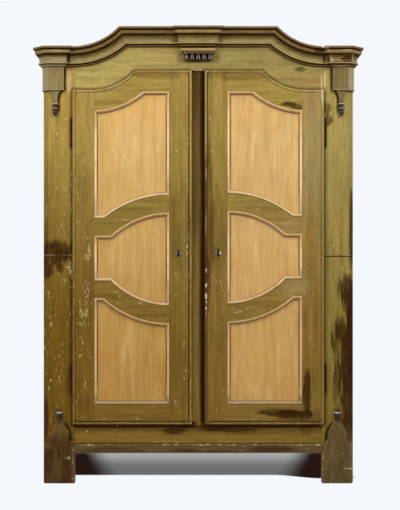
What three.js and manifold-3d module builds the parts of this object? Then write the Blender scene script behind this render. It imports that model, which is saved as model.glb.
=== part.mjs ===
// A two-door kas cupboard with a swan-necked crown, in millimetres. Up is +Z and the doors face -Y.
// The origin is on the floor, under the middle of the whole piece.
import * as THREE from "three";
import { mergeVertices } from "three/addons/utils/BufferGeometryUtils.js";
import Module from "manifold-3d";

const wasm = await Module();
wasm.setup();

// Widths across the front
const centrePostWidth = 78;
const openingWidth = 533;
const postWidth = 147.5;

// Heights from the floor up
const footHeight = 140;
const plinthHeight = 42;
const baseRailHeight = 100;
const doorShoulder = 1546.7;
const doorRise = 89.3;
const friezeHeight = 106.3;
const crownRise = 92;
const crownHeight = 90;
const seamHeight = 1054;

// Depths and board thicknesses
const caseDepth = 520;
const frameThickness = 32;
const sideThickness = 22;
const boardThickness = 22;
const backThickness = 12;
const centrePostDepth = 45;
const centrePostSetBack = 8;
const crownSeat = 70;

// Joints and clearances
const seat = 0.3;
const housingDepth = 6;
const overrun = 40;
const postCant = 28;

// Doors
const lipOverlap = 10;
const lipClearance = 2;
const lipThickness = 13;
const doorInside = 18;
const doorCoveRadius = 264;
const doorCoveOffset = 89;
const hingeStileWidth = 101;
const lockStileWidth = 104;
const topRailWidth = 96;
const bottomRailWidth = 93;
const midRailWidth = 78;
const beadWidth = 12;
const beadGroove = 4.5;
const beadDepth = 2.4;
const panelThickness = 9;
const panelSetBack = 10;
const panelTongue = 8;
const mouldingWidth = 17;
const mouldingRise = 2;

// Mid rails, from the door's foot up: the flat by the hinge stile, and the bow by the lock stile
const upperRailFlat = 952;
const upperRailBow = 106;
const upperRailRadius = 480;
const lowerRailFlat = 585;
const lowerRailBow = 115.5;
const lowerRailRadius = 456;
const railLifts = { left: 0, right: 9 };

// Crown, keystone, capitals and pendants
const crownProjection = 42;
const crownRadius = 388;
const crownCoveEnd = 140;
const breakStep = 14;
const sideStep = 4;
const keystoneWidth = 150;
const keystoneDrop = 60;
const keystoneLead = 7;
const keystoneBand = 14;
const keystoneBead = 8;
const keystoneRelief = 3;
const lobeCount = 5;
const lobeRow = 131;
const lobeGap = 7.5;
const lobeDepth = 10;
const lobeTaper = 2;
const capitalWidth = 101.5;
const capitalCant = 30;
const capitalReturn = 60;
const capitalFillet = 6;
const capitalLap = 3.25;
const bracketHeight = 62;
const bracketWidth = 68;
const bracketNeck = 20;
const bracketSetBack = 4;
const bracketHollowShare = 0.75;
const pendantShift = 4;
const dropRadius = 15;
const dropLength = 60;

// Foot plates and their balls
const plateWidth = 142;
const plateHeight = 290;
const plateThickness = 14;
const plateShoulder = 176;
const plateTopWidth = 24;
const ballRadius = 17;
const ballNeck = 16;
const ballNeckWidth = 18;
const plinthProjection = 9;

// Hinges
const pinRadius = 3;
const knuckleRadius = 5.5;
const knuckleClearance = 0.4;
const knuckleOffset = 7;
const hingeLength = 120;
const hingeTip = 12;
const leafThickness = 2.5;
const leafDepth = 24;
const leafHeight = 50;
const upperHingeDrop = 197.7;
const lowerHingeRise = 212;
const finialShares = [[0.45, 1 / 3], [0.6, 1 / 2], [1 / 3, 1]];

// Locks
const lockHeight = 1064;
const keyholeInset = 63;
const lockCaseWidth = 80;
const lockCaseHeight = 100;
const lockCaseDepth = 18;
const lockCaseInset = 6;
const boltThickness = 8;
const boltHeight = 18;
const boltLength = 52;
const boltProud = 3;
const boltThrow = 14;
const keyholeRadius = 4;
const keyholeSlot = 3.6;
const keyholeDrop = 13;
const escutcheonWidth = 36;
const escutcheonHeight = 46;
const escutcheonThickness = 2;

// Inside
const shelfHeights = { lower: 700, upper: 1400 };
const shelfSetBack = 50;
const backRise = 180;
const backPlanks = 8;

// Side panels
const sideFieldMargin = 85;
const sideFieldDepth = 5;
const sideFieldBevel = 9;

// How finely curves are drawn
const coveSteps = 10;
const turnSides = 16;
const ballSides = 20;
const curveSteps = 6;
const weld = 1e-4;

// Places worked out from the sizes
const frontPlane = (breakStep + crownProjection - caseDepth) / 2;
const backPlane = frontPlane + caseDepth;
const frameBack = frontPlane + frameThickness;
const postInner = centrePostWidth / 2 + openingWidth;
const caseHalf = postInner + postWidth;
const sideInner = caseHalf - sideThickness;
const openingBottom = footHeight + plinthHeight + baseRailHeight;
const doorBottom = openingBottom - lipOverlap;
const doorLow = doorBottom + doorShoulder;
const doorHigh = doorLow + doorRise;
const crownFoot = doorLow + friezeHeight;
const crownCentre = crownFoot + crownRise;
const caseTop = crownFoot + crownSeat;
const lipFace = frontPlane - lipThickness;
const doorBack = frontPlane + doorInside;
const lockEdge = centrePostWidth / 2 - lipOverlap;
const hingeEdge = postInner + lipOverlap;
const doorCoveX = hingeEdge - doorCoveOffset;
const doorCoveZ = doorLow + doorCoveRadius;
const panelLock = lockEdge + lockStileWidth;
const panelHinge = hingeEdge - hingeStileWidth;
const panelFace = lipFace + panelSetBack;
const panelBack = panelFace + panelThickness;
const hingeX = hingeEdge + knuckleOffset;
const hingeY = frontPlane - knuckleRadius - seat;
const hingeHeights = { upper: doorLow - upperHingeDrop, lower: doorBottom + lowerHingeRise };
const keyholeX = lockEdge + keyholeInset;
const floorBoardTop = openingBottom - lipOverlap / 2;
const roofBoardFoot = crownFoot + lipOverlap;
const backBoardFace = backPlane - backThickness;
const capitalOuter = caseHalf + sideStep;
const capitalInner = capitalOuter - capitalWidth;
const capitalFront = frontPlane - breakStep;
const capitalCantX = capitalOuter - capitalCant;
const crownCoveX = caseHalf - crownCoveEnd;
const plateX = postInner + plateWidth / 2;

// Colours, roughness and metalness of the materials
const paint = { color: 0x8f7a3f, roughness: 0.6, metalness: 0 };
const ochre = { color: 0xd6a85e, roughness: 0.55, metalness: 0 };
const peach = { color: 0xeec795, roughness: 0.55, metalness: 0 };
const footPaint = { color: 0x5f4d28, roughness: 0.65, metalness: 0 };
const bareWood = { color: 0x9a7145, roughness: 0.8, metalness: 0 };
const iron = { color: 0x3a3634, roughness: 0.5, metalness: 0.8 };

// Solids

/** A closed geometry as a solid that can be cut and joined, turned to face outwards. */
function toSolid(geometry) {
  const bare = geometry.index ? geometry.toNonIndexed() : geometry.clone();
  bare.deleteAttribute("normal");
  bare.deleteAttribute("uv");
  const merged = mergeVertices(bare, weld);
  const vertProperties = new Float32Array(merged.attributes.position.array);
  const build = (triVerts) =>
    new wasm.Manifold(new wasm.Mesh({ numProp: 3, vertProperties, triVerts }));
  const faces = new Uint32Array(merged.index.array);
  const made = build(faces);
  return made.volume() < 0 ? build(faces.reverse()) : made;
}

/** The geometry of a finished solid. */
function toGeometry(solid) {
  const { vertProperties, triVerts } = solid.getMesh();
  return new THREE.BufferGeometry()
    .setAttribute("position", new THREE.BufferAttribute(vertProperties, 3))
    .setIndex(new THREE.BufferAttribute(triVerts, 1));
}

/** The same geometry on the other side of the middle plane, still facing outwards. */
function mirrored(geometry) {
  const copy = geometry.clone().applyMatrix4(new THREE.Matrix4().makeScale(-1, 1, 1));
  copy.index.array.reverse();
  return copy;
}

const joined = (first, ...others) => others.reduce((sum, next) => sum.add(next), first);
const cut = (first, ...others) => others.reduce((rest, next) => rest.subtract(next), first);

/** A block between two opposite corners. */
function block([x0, y0, z0], [x1, y1, z1]) {
  const geometry = new THREE.BoxGeometry(x1 - x0, y1 - y0, z1 - z0);
  return toSolid(geometry.translate((x0 + x1) / 2, (y0 + y1) / 2, (z0 + z1) / 2));
}

const asShape = (outline) =>
  new THREE.Shape(outline.map(([across, up]) => new THREE.Vector2(across, up)));

/** A board whose outline is drawn in the front view, from its front face to its back face. */
function slab(outline, front, back) {
  const geometry = new THREE.ExtrudeGeometry(asShape(outline), {
    depth: back - front,
    bevelEnabled: false,
  });
  return toSolid(geometry.rotateX(Math.PI / 2).translate(0, back, 0));
}

/** A post whose outline is drawn in plan, from its foot to its top. */
function column(outline, bottom, top) {
  const geometry = new THREE.ExtrudeGeometry(asShape(outline), {
    depth: top - bottom,
    bevelEnabled: false,
  });
  return toSolid(geometry.translate(0, 0, bottom));
}

/** A turned piece on an upright axis, from [radius, height] pairs that start and end at radius 0. */
function turnedPiece(profile, x, y, sides = turnSides) {
  const points = profile.map(([radius, height]) => new THREE.Vector2(radius, height));
  const geometry = new THREE.LatheGeometry(points, sides);
  return toSolid(geometry.rotateX(Math.PI / 2).translate(x, y, 0));
}

/**
 * A section carried through stations: each station turns a section point into a place, and the
 * skin joins one station's points to the next. A looped skin closes on itself, any other is capped.
 */
function carried(section, stations, looped = false) {
  const count = section.length;
  const positions = stations.flatMap((station) => section.flatMap((point) => station(point)));
  const faces = [];
  const spans = looped ? stations.length : stations.length - 1;
  for (let i = 0; i < spans; i++) {
    const here = i * count;
    const next = ((i + 1) % stations.length) * count;
    for (let j = 0; j < count; j++) {
      const k = (j + 1) % count;
      faces.push(here + j, next + j, next + k, here + j, next + k, here + k);
    }
  }
  if (!looped) {
    const flat = section.map(([across, up]) => new THREE.Vector2(across, up));
    const far = (stations.length - 1) * count;
    const turnedLeft = THREE.ShapeUtils.area(flat) > 0;
    for (const cap of THREE.ShapeUtils.triangulateShape(flat, [])) {
      const near = turnedLeft ? cap : cap.slice().reverse();
      faces.push(...near);
      faces.push(...near.slice().reverse().map((corner) => far + corner));
    }
    if (!turnedLeft) faces.reverse();
  }
  const geometry = new THREE.BufferGeometry();
  geometry.setAttribute("position", new THREE.Float32BufferAttribute(positions, 3));
  geometry.setIndex(faces);
  return toSolid(geometry);
}

/** Points of a round stretch in the front view, from one angle to another, both ends included. */
function arc(x, z, radius, from, to, steps = coveSteps) {
  return Array.from({ length: steps + 1 }, (_, i) => {
    const angle = from + ((to - from) * i) / steps;
    return [x + radius * Math.cos(angle), z + radius * Math.sin(angle)];
  });
}

/** The unit vector that points to the left of the way from one point to the next. */
function leftOf([x0, z0], [x1, z1]) {
  const length = Math.hypot(x1 - x0, z1 - z0);
  return [(z0 - z1) / length, (x1 - x0) / length];
}

/** The way from a corner of a loop to its inset copy, for an inset of one, with mitred corners. */
function mitre(loop, i) {
  const count = loop.length;
  const [ax, az] = leftOf(loop[(i + count - 1) % count], loop[i]);
  const [bx, bz] = leftOf(loop[i], loop[(i + 1) % count]);
  const share = 1 / (1 + ax * bx + az * bz);
  return [(ax + bx) * share, (az + bz) * share];
}

/** A loop that runs anticlockwise, drawn in by a distance, or out by a negative one. */
function inset(loop, distance) {
  return loop.map(([x, z], i) => {
    const [mx, mz] = mitre(loop, i);
    return [x + mx * distance, z + mz * distance];
  });
}

/** A board built up from one outline: each layer is that outline drawn in, at a depth. */
function layered(loop, layers) {
  const station = ([drawnIn, depth]) => {
    const ring = inset(loop, drawnIn);
    return ([x, z, i]) => [ring[i][0], depth, ring[i][1]];
  };
  const indexed = loop.map(([x, z], i) => [x, z, i]);
  return carried(indexed, layers.map(station));
}

/** A moulding mitred round a loop: its section is given as [drawn in, depth] pairs. */
function framed(loop, section) {
  const stations = loop.map(([x, z], i) => {
    const [mx, mz] = mitre(loop, i);
    return ([drawnIn, depth]) => [x + mx * drawnIn, depth, z + mz * drawnIn];
  });
  return carried(section, stations, true);
}

// Outlines of the doors, for the right-hand one; the left-hand one is mirrored

/** The cove that every swan-necked line has: from its kink at the high level down to its end. */
function cove(x, z, radius, high, end) {
  const kink = Math.acos((z - high) / radius);
  const finish = Math.asin((x - end) / radius);
  const down = -Math.PI / 2;
  return arc(x, z, radius, down - kink, down - finish);
}

const doorCove = (radius, high, end) => cove(doorCoveX, doorCoveZ, radius, high, end);

const doorOutline = [
  [lockEdge, doorBottom],
  [hingeEdge, doorBottom],
  [hingeEdge, doorLow],
  ...doorCove(doorCoveRadius, doorHigh, doorCoveX).reverse(),
  [lockEdge, doorHigh],
];

/** The line of a mid rail's edge, from the lock stile's bow to the flat by the hinge stile. */
function bowedLine(centreZ, radius, flat, way) {
  const reach = Math.sqrt(radius ** 2 - (flat - centreZ) ** 2);
  const turn = Math.asin(reach / radius);
  const start = (way * Math.PI) / 2;
  return [...arc(panelLock, centreZ, radius, start, start - way * turn), [panelHinge, flat]];
}

/** The three panel openings of a door, from the foot up, with its mid rails lifted a little. */
function panelOpenings(lift) {
  const upperFlat = doorBottom + upperRailFlat + lift;
  const upperCentre = upperFlat + upperRailBow - upperRailRadius;
  const lowerFlat = doorBottom + lowerRailFlat + lift;
  const lowerCentre = lowerFlat - lowerRailBow + lowerRailRadius;
  const upperTopEdge = bowedLine(upperCentre, upperRailRadius, upperFlat, 1);
  const upperFootEdge = bowedLine(
    upperCentre,
    upperRailRadius - midRailWidth,
    upperFlat - midRailWidth,
    1,
  );
  const lowerTopEdge = bowedLine(
    lowerCentre,
    lowerRailRadius - midRailWidth,
    lowerFlat + midRailWidth,
    -1,
  );
  const lowerFootEdge = bowedLine(lowerCentre, lowerRailRadius, lowerFlat, -1);
  const topRadius = doorCoveRadius + topRailWidth;
  const topHigh = doorHigh - topRailWidth;
  const foot = doorBottom + bottomRailWidth;
  return {
    lower: [[panelLock, foot], [panelHinge, foot], ...lowerFootEdge.toReversed()],
    middle: [...lowerTopEdge, ...upperFootEdge.toReversed()],
    upper: [
      ...upperTopEdge,
      ...doorCove(topRadius, topHigh, panelHinge).reverse(),
      [panelLock, topHigh],
    ],
  };
}

// Ironwork sizes shared by doors and case

const hingeFloors = Object.values(hingeHeights).map((middle) => middle - hingeLength / 2);
const knuckleHalf = hingeLength / 2;
const leafFoot = (knuckleHalf - leafHeight) / 2;

/** The mortise for a hinge leaf: the leaf's own box with a little room all round. */
function leafMortise(low, high) {
  const grown = (corner, way) => corner.map((value) => value + way * seat);
  return block(grown(low, -1), grown(high, 1));
}

const caseLeaf = (floor) => [
  [hingeX - leafThickness / 2, hingeY, floor + leafFoot],
  [hingeX + leafThickness / 2, hingeY + leafDepth, floor + leafFoot + leafHeight],
];
const doorLeaf = (floor) => [
  [hingeX - knuckleOffset - leafDepth, hingeY - leafThickness / 2, floor + knuckleHalf + leafFoot],
  [hingeX, hingeY + leafThickness / 2, floor + knuckleHalf + leafFoot + leafHeight],
];

/** A keyhole: a round eye with a slot hanging from it. */
function keyhole(front, back) {
  const rim = Math.asin(keyholeSlot / 2 / keyholeRadius);
  const down = -Math.PI / 2;
  const eye = arc(keyholeX, lockHeight, keyholeRadius, down + rim, down - rim + 2 * Math.PI, turnSides);
  const foot = lockHeight - keyholeDrop;
  const slot = [
    [keyholeX - keyholeSlot / 2, foot],
    [keyholeX + keyholeSlot / 2, foot],
  ];
  return slab([...slot, ...eye], front, back);
}

// Door pieces

/** The whole door as one board: the rebated edge behind, and the lip with its bead in front. */
function doorBlank() {
  const edge = lipOverlap + lipClearance;
  const bead = beadWidth;
  const soft = beadDepth / 2;
  return layered(doorOutline, [
    [edge, doorBack],
    [edge, frontPlane - seat],
    [0, frontPlane - seat],
    [0, lipFace + beadDepth],
    [soft / 2, lipFace + soft / 2],
    [soft * 2, lipFace],
    [bead - soft * 2, lipFace],
    [bead - soft / 2, lipFace + soft / 2],
    [bead, lipFace + beadDepth],
    [bead + beadGroove - beadDepth, lipFace + beadDepth],
    [bead + beadGroove, lipFace],
  ]);
}

/** The six frame members: two stiles, and the rails left between the three panel openings. */
function doorFrame(openings) {
  const blank = doorBlank();
  const loops = Object.values(openings);
  const grooves = loops.map((loop) =>
    slab(inset(loop, -panelTongue - seat), panelFace - seat, panelBack + seat),
  );
  const windows = loops.map((loop) => slab(loop, lipFace - overrun, doorBack + overrun));
  const between = (x0, x1) =>
    blank.intersect(
      block(
        [x0, lipFace - overrun, doorBottom - overrun],
        [x1, doorBack + overrun, doorHigh + overrun],
      ),
    );
  const middle = cut(between(panelLock + seat / 2, panelHinge - seat / 2), ...windows);
  const rails = middle
    .decompose()
    .sort((one, other) => one.boundingBox().min[2] - other.boundingBox().min[2]);
  const mortises = hingeFloors.map((floor) => leafMortise(...doorLeaf(floor)));
  const [bottomRail, lowerRail, upperRail, topRail] = rails.map((rail) => cut(rail, ...grooves));
  return {
    hinge_stile: cut(between(panelHinge + seat / 2, hingeEdge + overrun), ...grooves, ...mortises),
    lock_stile: cut(
      between(lockEdge - overrun, panelLock - seat / 2),
      ...grooves,
      keyhole(lipFace - overrun, doorBack + overrun),
    ),
    bottom_rail: bottomRail,
    lower_mid_rail: lowerRail,
    upper_mid_rail: upperRail,
    top_rail: topRail,
  };
}

const doorPanel = (loop) => slab(inset(loop, -panelTongue), panelFace, panelBack);

/**
 * The bead and step that frame a panel, seated in the opening and on the panel's face. A share
 * above zero stands proud of the door's face, and one below goes down towards the panel.
 */
function panelMoulding(loop) {
  const widthShares = [0, 0, 0.07, 0.24, 0.46, 0.63, 0.71, 0.76, 1, 1];
  const heightShares = [-1, -0.12, 0.3, 1, 0.7, -0.28, -0.6, -0.8, -0.88, -1];
  const reach = panelFace - seat - lipFace;
  const section = widthShares.map((share, i) => {
    const height = heightShares[i];
    const lift = height > 0 ? mouldingRise : reach;
    return [seat + share * (mouldingWidth - seat), lipFace - height * lift];
  });
  return framed(loop, section);
}

// Lock pieces

const lockCaseFront = doorBack + seat;
const lockCaseBack = lockCaseFront + lockCaseDepth;
const lockCaseInner = centrePostWidth / 2 + lipClearance + lockCaseInset;
const boltY = (lockCaseFront + lockCaseBack) / 2;

/** The box that the bolt fills, or with room added, the slot that it runs in. */
function boltBox(from, to, room) {
  return block(
    [from, boltY - boltThickness / 2 - room, lockHeight - boltHeight / 2 - room],
    [to, boltY + boltThickness / 2 + room, lockHeight + boltHeight / 2 + room],
  );
}

function lockCase() {
  const low = [lockCaseInner, lockCaseFront, lockHeight - lockCaseHeight / 2];
  const high = [lockCaseInner + lockCaseWidth, lockCaseBack, lockHeight + lockCaseHeight / 2];
  const channel = boltBox(
    lockCaseInner - overrun,
    lockCaseInner - boltProud + boltLength + seat,
    seat,
  );
  return cut(block(low, high), channel, keyhole(lockCaseFront - overrun, boltY));
}

const lockBolt = () =>
  boltBox(lockCaseInner - boltProud, lockCaseInner - boltProud + boltLength, 0);

/** A lozenge plate with hollow sides and a thin raised middle, pierced by the keyhole. */
function escutcheon() {
  const waistShares = [1, 0.62, 0.28, 0];
  const corners = waistShares.map((share, i) => [
    (share * escutcheonWidth) / 2,
    (waistShares.at(-1 - i) * escutcheonHeight) / 2,
  ]);
  const quarter = corners.slice(0, -1);
  const turn = (points, across, up) => points.map(([x, z]) => [x * across, z * up]);
  const upperLeft = turn(corners, -1, 1).reverse().slice(0, -1);
  const lowerLeft = turn(quarter, -1, -1);
  const lowerRight = turn(corners, 1, -1).reverse().slice(0, -1);
  const loop = [...quarter, ...upperLeft, ...lowerLeft, ...lowerRight].map(([x, z]) => [
    keyholeX + x,
    lockHeight + z,
  ]);
  const back = lipFace - seat;
  const face = back - escutcheonThickness;
  const plate = layered(loop, [
    [0, back],
    [0, back - escutcheonThickness / 2],
    [escutcheonThickness / 2, face],
  ]);
  return cut(plate, keyhole(face - overrun, back + overrun));
}

// Hinge pieces: a barrel with its pin on the case, and a barrel that drops over it on the door

/** The tip of a barrel, from its neck outwards, as [radius, height] pairs. */
const finial = (end, way) =>
  finialShares.map(([out, up]) => [out * knuckleRadius, end + way * up * hingeTip]);

function caseHingeHalf(floor) {
  const top = floor + knuckleHalf - seat / 2;
  const profile = [
    [0, floor - hingeTip],
    ...finial(floor, -1).reverse(),
    [knuckleRadius, floor],
    [knuckleRadius, top],
    [pinRadius, top],
    [pinRadius, floor + hingeLength - hingeTip],
    [0, floor + hingeLength - hingeTip / 2],
  ];
  return joined(turnedPiece(profile, hingeX, hingeY), block(...caseLeaf(floor)));
}

function doorHingeHalf(floor) {
  const foot = floor + knuckleHalf + seat / 2;
  const top = floor + hingeLength;
  const profile = [
    [0, foot],
    [knuckleRadius, foot],
    [knuckleRadius, top],
    ...finial(top, 1),
    [0, top + hingeTip],
  ];
  const bore = [
    [0, foot - overrun],
    [pinRadius + knuckleClearance, foot - overrun],
    [pinRadius + knuckleClearance, floor + hingeLength - hingeTip / 3],
    [0, floor + hingeLength - hingeTip / 3],
  ];
  const barrel = joined(turnedPiece(profile, hingeX, hingeY), block(...doorLeaf(floor)));
  return cut(barrel, turnedPiece(bore, hingeX, hingeY));
}

// Case pieces, for the right-hand side where they are a pair

/** A corner post with its canted edge, in plan. */
const postPlan = [
  [postInner, frontPlane],
  [caseHalf - postCant, frontPlane],
  [caseHalf, frontPlane + postCant],
  [caseHalf, frameBack],
  [postInner, frameBack],
];

const spigotSize = frameThickness / 2;

/** The loose tongue that locks the upper post on the lower one. */
function spigot(room) {
  const middle = [postInner + postWidth / 2, (frontPlane + frameBack) / 2];
  return block(
    [middle[0] - spigotSize - room, middle[1] - spigotSize / 2 - room, seamHeight - spigotSize],
    [middle[0] + spigotSize + room, middle[1] + spigotSize / 2 + room, seamHeight + spigotSize + room],
  );
}

function cornerPost(bottom, top, upper) {
  const post = column(postPlan, bottom, top);
  const middle = (bottom + top) / 2;
  const mortises = hingeFloors
    .filter((floor) => Math.abs(floor - middle) < (top - bottom) / 2)
    .map((floor) => leafMortise(...caseLeaf(floor)));
  const fitted = cut(post, ...mortises);
  return upper ? cut(fitted, spigot(seat)) : joined(fitted, spigot(0));
}

/** The housings in a side board for the boards that it carries. */
function housings() {
  const slot = (bottom, front) =>
    block(
      [sideInner - overrun, front - seat, bottom - seat],
      [sideInner + housingDepth, backBoardFace, bottom + boardThickness + seat],
    );
  return [
    slot(floorBoardTop - boardThickness, frameBack),
    slot(roofBoardFoot, frameBack),
    ...Object.values(shelfHeights).map((foot) => slot(foot, frontPlane + shelfSetBack)),
  ];
}

/** A side board with a sunk field outside, housings inside and a rebate for the back. */
function sideBoard(bottom, top, fieldBottom, fieldTop) {
  const front = frameBack + seat;
  const board = block([sideInner, front, bottom], [caseHalf, backPlane, top]);
  const rebate = block(
    [sideInner - overrun, backBoardFace - seat, backRise - seat],
    [sideInner + sideThickness / 2 + seat, backPlane + overrun, top + overrun],
  );
  const y0 = front + sideFieldMargin;
  const y1 = backPlane - sideFieldMargin;
  const square = [[0, 0], [1, 0], [1, 1], [0, 1]];
  const station = (drawnIn, x) => ([across, up]) => [
    x,
    across ? y1 - drawnIn : y0 + drawnIn,
    up ? fieldTop - drawnIn : fieldBottom + drawnIn,
  ];
  const field = carried(square, [
    station(0, caseHalf + sideFieldDepth),
    station(0, caseHalf),
    station(sideFieldBevel, caseHalf - sideFieldDepth),
  ]);
  return cut(board, rebate, field, ...housings());
}

/** The front board above the doors, shaped below to the openings and above to the crown. */
function friezeBoard() {
  const half = postInner - seat;
  const coved = (radius, high, end) => cove(crownCoveX, crownFoot + crownRadius, radius, high, end);
  const rightTop = coved(crownRadius - crownSeat, crownCentre + crownSeat, crownCoveX);
  const leftTop = rightTop.map(([x, z]) => [-x, z]);
  const blank = slab(
    [
      [-half, doorLow - lipOverlap],
      [half, doorLow - lipOverlap],
      [half, caseTop],
      ...rightTop.toReversed(),
      ...leftTop,
      [-half, caseTop],
    ],
    frontPlane,
    frameBack,
  );
  const opening = inset(doorOutline, lipOverlap);
  const holes = [opening, opening.map(([x, z]) => [-x, z]).reverse()].map((loop) =>
    slab(loop, frontPlane - overrun, frameBack + overrun),
  );
  const gapAbovePost = block(
    [-centrePostWidth / 2, frontPlane - overrun, doorLow - lipOverlap - overrun],
    [centrePostWidth / 2, frameBack + overrun, doorHigh],
  );
  return cut(blank, ...holes, gapAbovePost);
}

/** The rail under the doors, with the plinth moulding worked on its foot. */
function baseRail() {
  const half = postInner - seat;
  const rail = block([-half, frontPlane, footHeight], [half, frameBack, openingBottom]);
  const out = plinthProjection;
  const crest = footHeight + plinthHeight;
  const curve = Array.from({ length: curveSteps + 1 }, (_, i) => {
    const angle = (i / curveSteps) * (Math.PI / 2);
    return [out * Math.cos(angle), crest - out + out * Math.sin(angle)];
  });
  const section = [[-out, footHeight], [out, footHeight], ...curve, [-out, crest]];
  const station = (x) => ([forward, z]) => [x, frontPlane - forward, z];
  return joined(rail, carried(section, [station(-half), station(half)]));
}

/** The fixed stile between the doors, mortised on both edges for the bolts. */
function centrePost() {
  const half = centrePostWidth / 2;
  const back = frontPlane + centrePostDepth;
  const front = block(
    [-half, frontPlane + centrePostSetBack, openingBottom + seat],
    [half, back, doorHigh - seat],
  );
  const rear = block(
    [-half, frameBack + seat, floorBoardTop + seat],
    [half, back, roofBoardFoot - seat],
  );
  const reach = boltThrow + boltProud;
  const mortise = boltBox(lockCaseInner - reach - seat, half + overrun, seat * 2);
  const other = boltBox(-half - overrun, -(lockCaseInner - reach - seat), seat * 2);
  return cut(joined(front, rear), mortise, other);
}

function innerBoard(foot, front, half) {
  return block([-half, front, foot], [half, backBoardFace - seat, foot + boardThickness]);
}

/** A back made of boards side by side, with a V joint between each two on the outside. */
function backBoard(bottom, top) {
  const half = sideInner + sideThickness / 2;
  const width = (2 * half) / backPlanks;
  const notch = backThickness / 4;
  const joints = Array.from({ length: backPlanks - 1 }, (_, i) => half - (i + 1) * width);
  const plan = [
    [-half, backBoardFace],
    [half, backBoardFace],
    [half, backPlane],
    ...joints.flatMap((x) => [
      [x + notch, backPlane],
      [x, backPlane - notch],
      [x - notch, backPlane],
    ]),
    [-half, backPlane],
  ];
  return column(plan, bottom, top);
}

// Crown

/** The crown's section as [projection, height] pairs: bead, fillet, cavetto, ovolo and top fillet. */
function crownSection() {
  const shares = [
    [0, 0], [0.1, 0.01], [0.18, 0.04], [0.2, 0.07], [0.18, 0.1], [0.11, 0.125],
    [0.42, 0.14], [0.45, 0.165], [0.42, 0.19], [0.32, 0.205],
    [0.32, 0.29], [0.36, 0.4], [0.45, 0.51], [0.6, 0.6],
    [0.68, 0.62], [0.77, 0.66], [0.79, 0.72], [0.77, 0.79], [0.71, 0.84],
    [0.68, 0.87], [0.94, 0.885], [1, 0.92], [0.98, 0.97], [0.93, 1], [0, 1],
  ];
  return shares.map(([out, up]) => [
    Math.max(out * crownProjection, seat),
    up * crownHeight,
  ]);
}

/** The stations of the crown from its middle round to the back of the right-hand side. */
function crownStations() {
  const half = keystoneWidth / 2;
  const flat = (x, y, acrossWay, depthWay, foot) => ([out, up]) => [
    x + out * acrossWay,
    y + out * depthWay,
    foot + up,
  ];
  const centreZ = crownFoot + crownRadius;
  const kink = ([out, up]) => {
    const radius = crownRadius - up;
    const height = crownCentre + up;
    return [crownCoveX - Math.sqrt(radius ** 2 - (centreZ - height) ** 2), frontPlane - out, height];
  };
  const full = Math.acos((centreZ - crownCentre) / crownRadius);
  const bend = (angle) => ([out, up]) => [
    crownCoveX - (crownRadius - up) * Math.sin(angle),
    frontPlane - out,
    centreZ - (crownRadius - up) * Math.cos(angle),
  ];
  const bends = Array.from({ length: coveSteps }, (_, i) => bend(full * (1 - (i + 1) / coveSteps)));
  const canted = Math.SQRT2 - 1;
  const sideBack = frontPlane + capitalReturn;
  return [
    flat(half, capitalFront, 1, -1, crownCentre),
    flat(half, frontPlane, 1, -1, crownCentre),
    kink,
    ...bends,
    flat(capitalInner, frontPlane, -1, -1, crownFoot),
    flat(capitalInner, capitalFront, -1, -1, crownFoot),
    flat(capitalCantX, capitalFront, canted, -1, crownFoot),
    flat(capitalOuter, capitalFront + capitalCant, 1, -canted, crownFoot),
    flat(capitalOuter, sideBack, 1, 1, crownFoot),
    flat(caseHalf, sideBack, 1, 1, crownFoot),
    flat(caseHalf, backPlane, 1, 0, crownFoot),
  ];
}

/** The keystone under the crown's centre break: a band and a bead over a row of rounded lobes. */
function keystone() {
  const half = keystoneWidth / 2;
  const foot = crownCentre - keystoneDrop;
  const step = keystoneRelief;
  const bandTop = crownCentre - keystoneLead;
  const bandFoot = bandTop - keystoneBand;
  const beadTop = bandFoot - step;
  const beadFoot = beadTop - keystoneBead;
  const lobeWidth = (lobeRow - lobeGap * (lobeCount - 1)) / lobeCount;
  const lobes = Array.from({ length: lobeCount }, (_, i) => {
    const x = (i - (lobeCount - 1) / 2) * (lobeWidth + lobeGap);
    const radius = lobeWidth / 2 - lobeTaper;
    const round = arc(x, beadFoot - step / 2 - radius, radius, 0, Math.PI, curveSteps);
    const outline = [[x - lobeWidth / 2, foot], [x + lobeWidth / 2, foot], ...round];
    return layered(outline, [
      [0, frontPlane],
      [0, capitalFront],
      [step, capitalFront - step],
    ]);
  });
  const ground = block(
    [-half + step, capitalFront - step + lobeDepth, foot + step],
    [half - step, frontPlane - seat, crownCentre + crownSeat],
  );
  const neck = block(
    [-half + step, capitalFront - step, bandFoot],
    [half - step, frontPlane - seat, crownCentre + step],
  );
  const band = block(
    [-half - 2 * step, capitalFront - 2 * step, bandFoot],
    [half + 2 * step, frontPlane - seat, bandTop],
  );
  const bead = block(
    [-half - step, capitalFront - 2 * step, beadFoot],
    [half + step, frontPlane - seat, beadTop],
  );
  const behind = block(
    [-half - overrun, frontPlane - seat, foot - overrun],
    [half + overrun, frontPlane + overrun, beadTop + overrun],
  );
  return cut(joined(ground, neck, band, bead, ...lobes), behind);
}

/** The crown on the front and both sides, with its keystone. */
function crown() {
  const right = crownStations();
  const mirror = (station) => (point) => {
    const [x, y, z] = station(point);
    return [-x, y, z];
  };
  const left = right.toReversed().map(mirror);
  return joined(carried(crownSection(), [...left, ...right]), keystone());
}

// Capitals, pendants and foot plates

const capitalPlan = (grow) => [
  [capitalInner - grow, frontPlane - seat],
  [capitalInner - grow, capitalFront - grow],
  [capitalCantX + grow * (Math.SQRT2 - 1), capitalFront - grow],
  [capitalOuter + grow, capitalFront + capitalCant - grow * (Math.SQRT2 - 1)],
  [capitalOuter + grow, frontPlane + capitalReturn],
  [caseHalf + seat, frontPlane + capitalReturn],
  [caseHalf + seat, frontPlane + postCant - seat * (Math.SQRT2 - 1)],
  [caseHalf - postCant + seat * (Math.SQRT2 - 1), frontPlane - seat],
];

const pendantX = (capitalInner + capitalCantX) / 2 + pendantShift;

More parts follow.
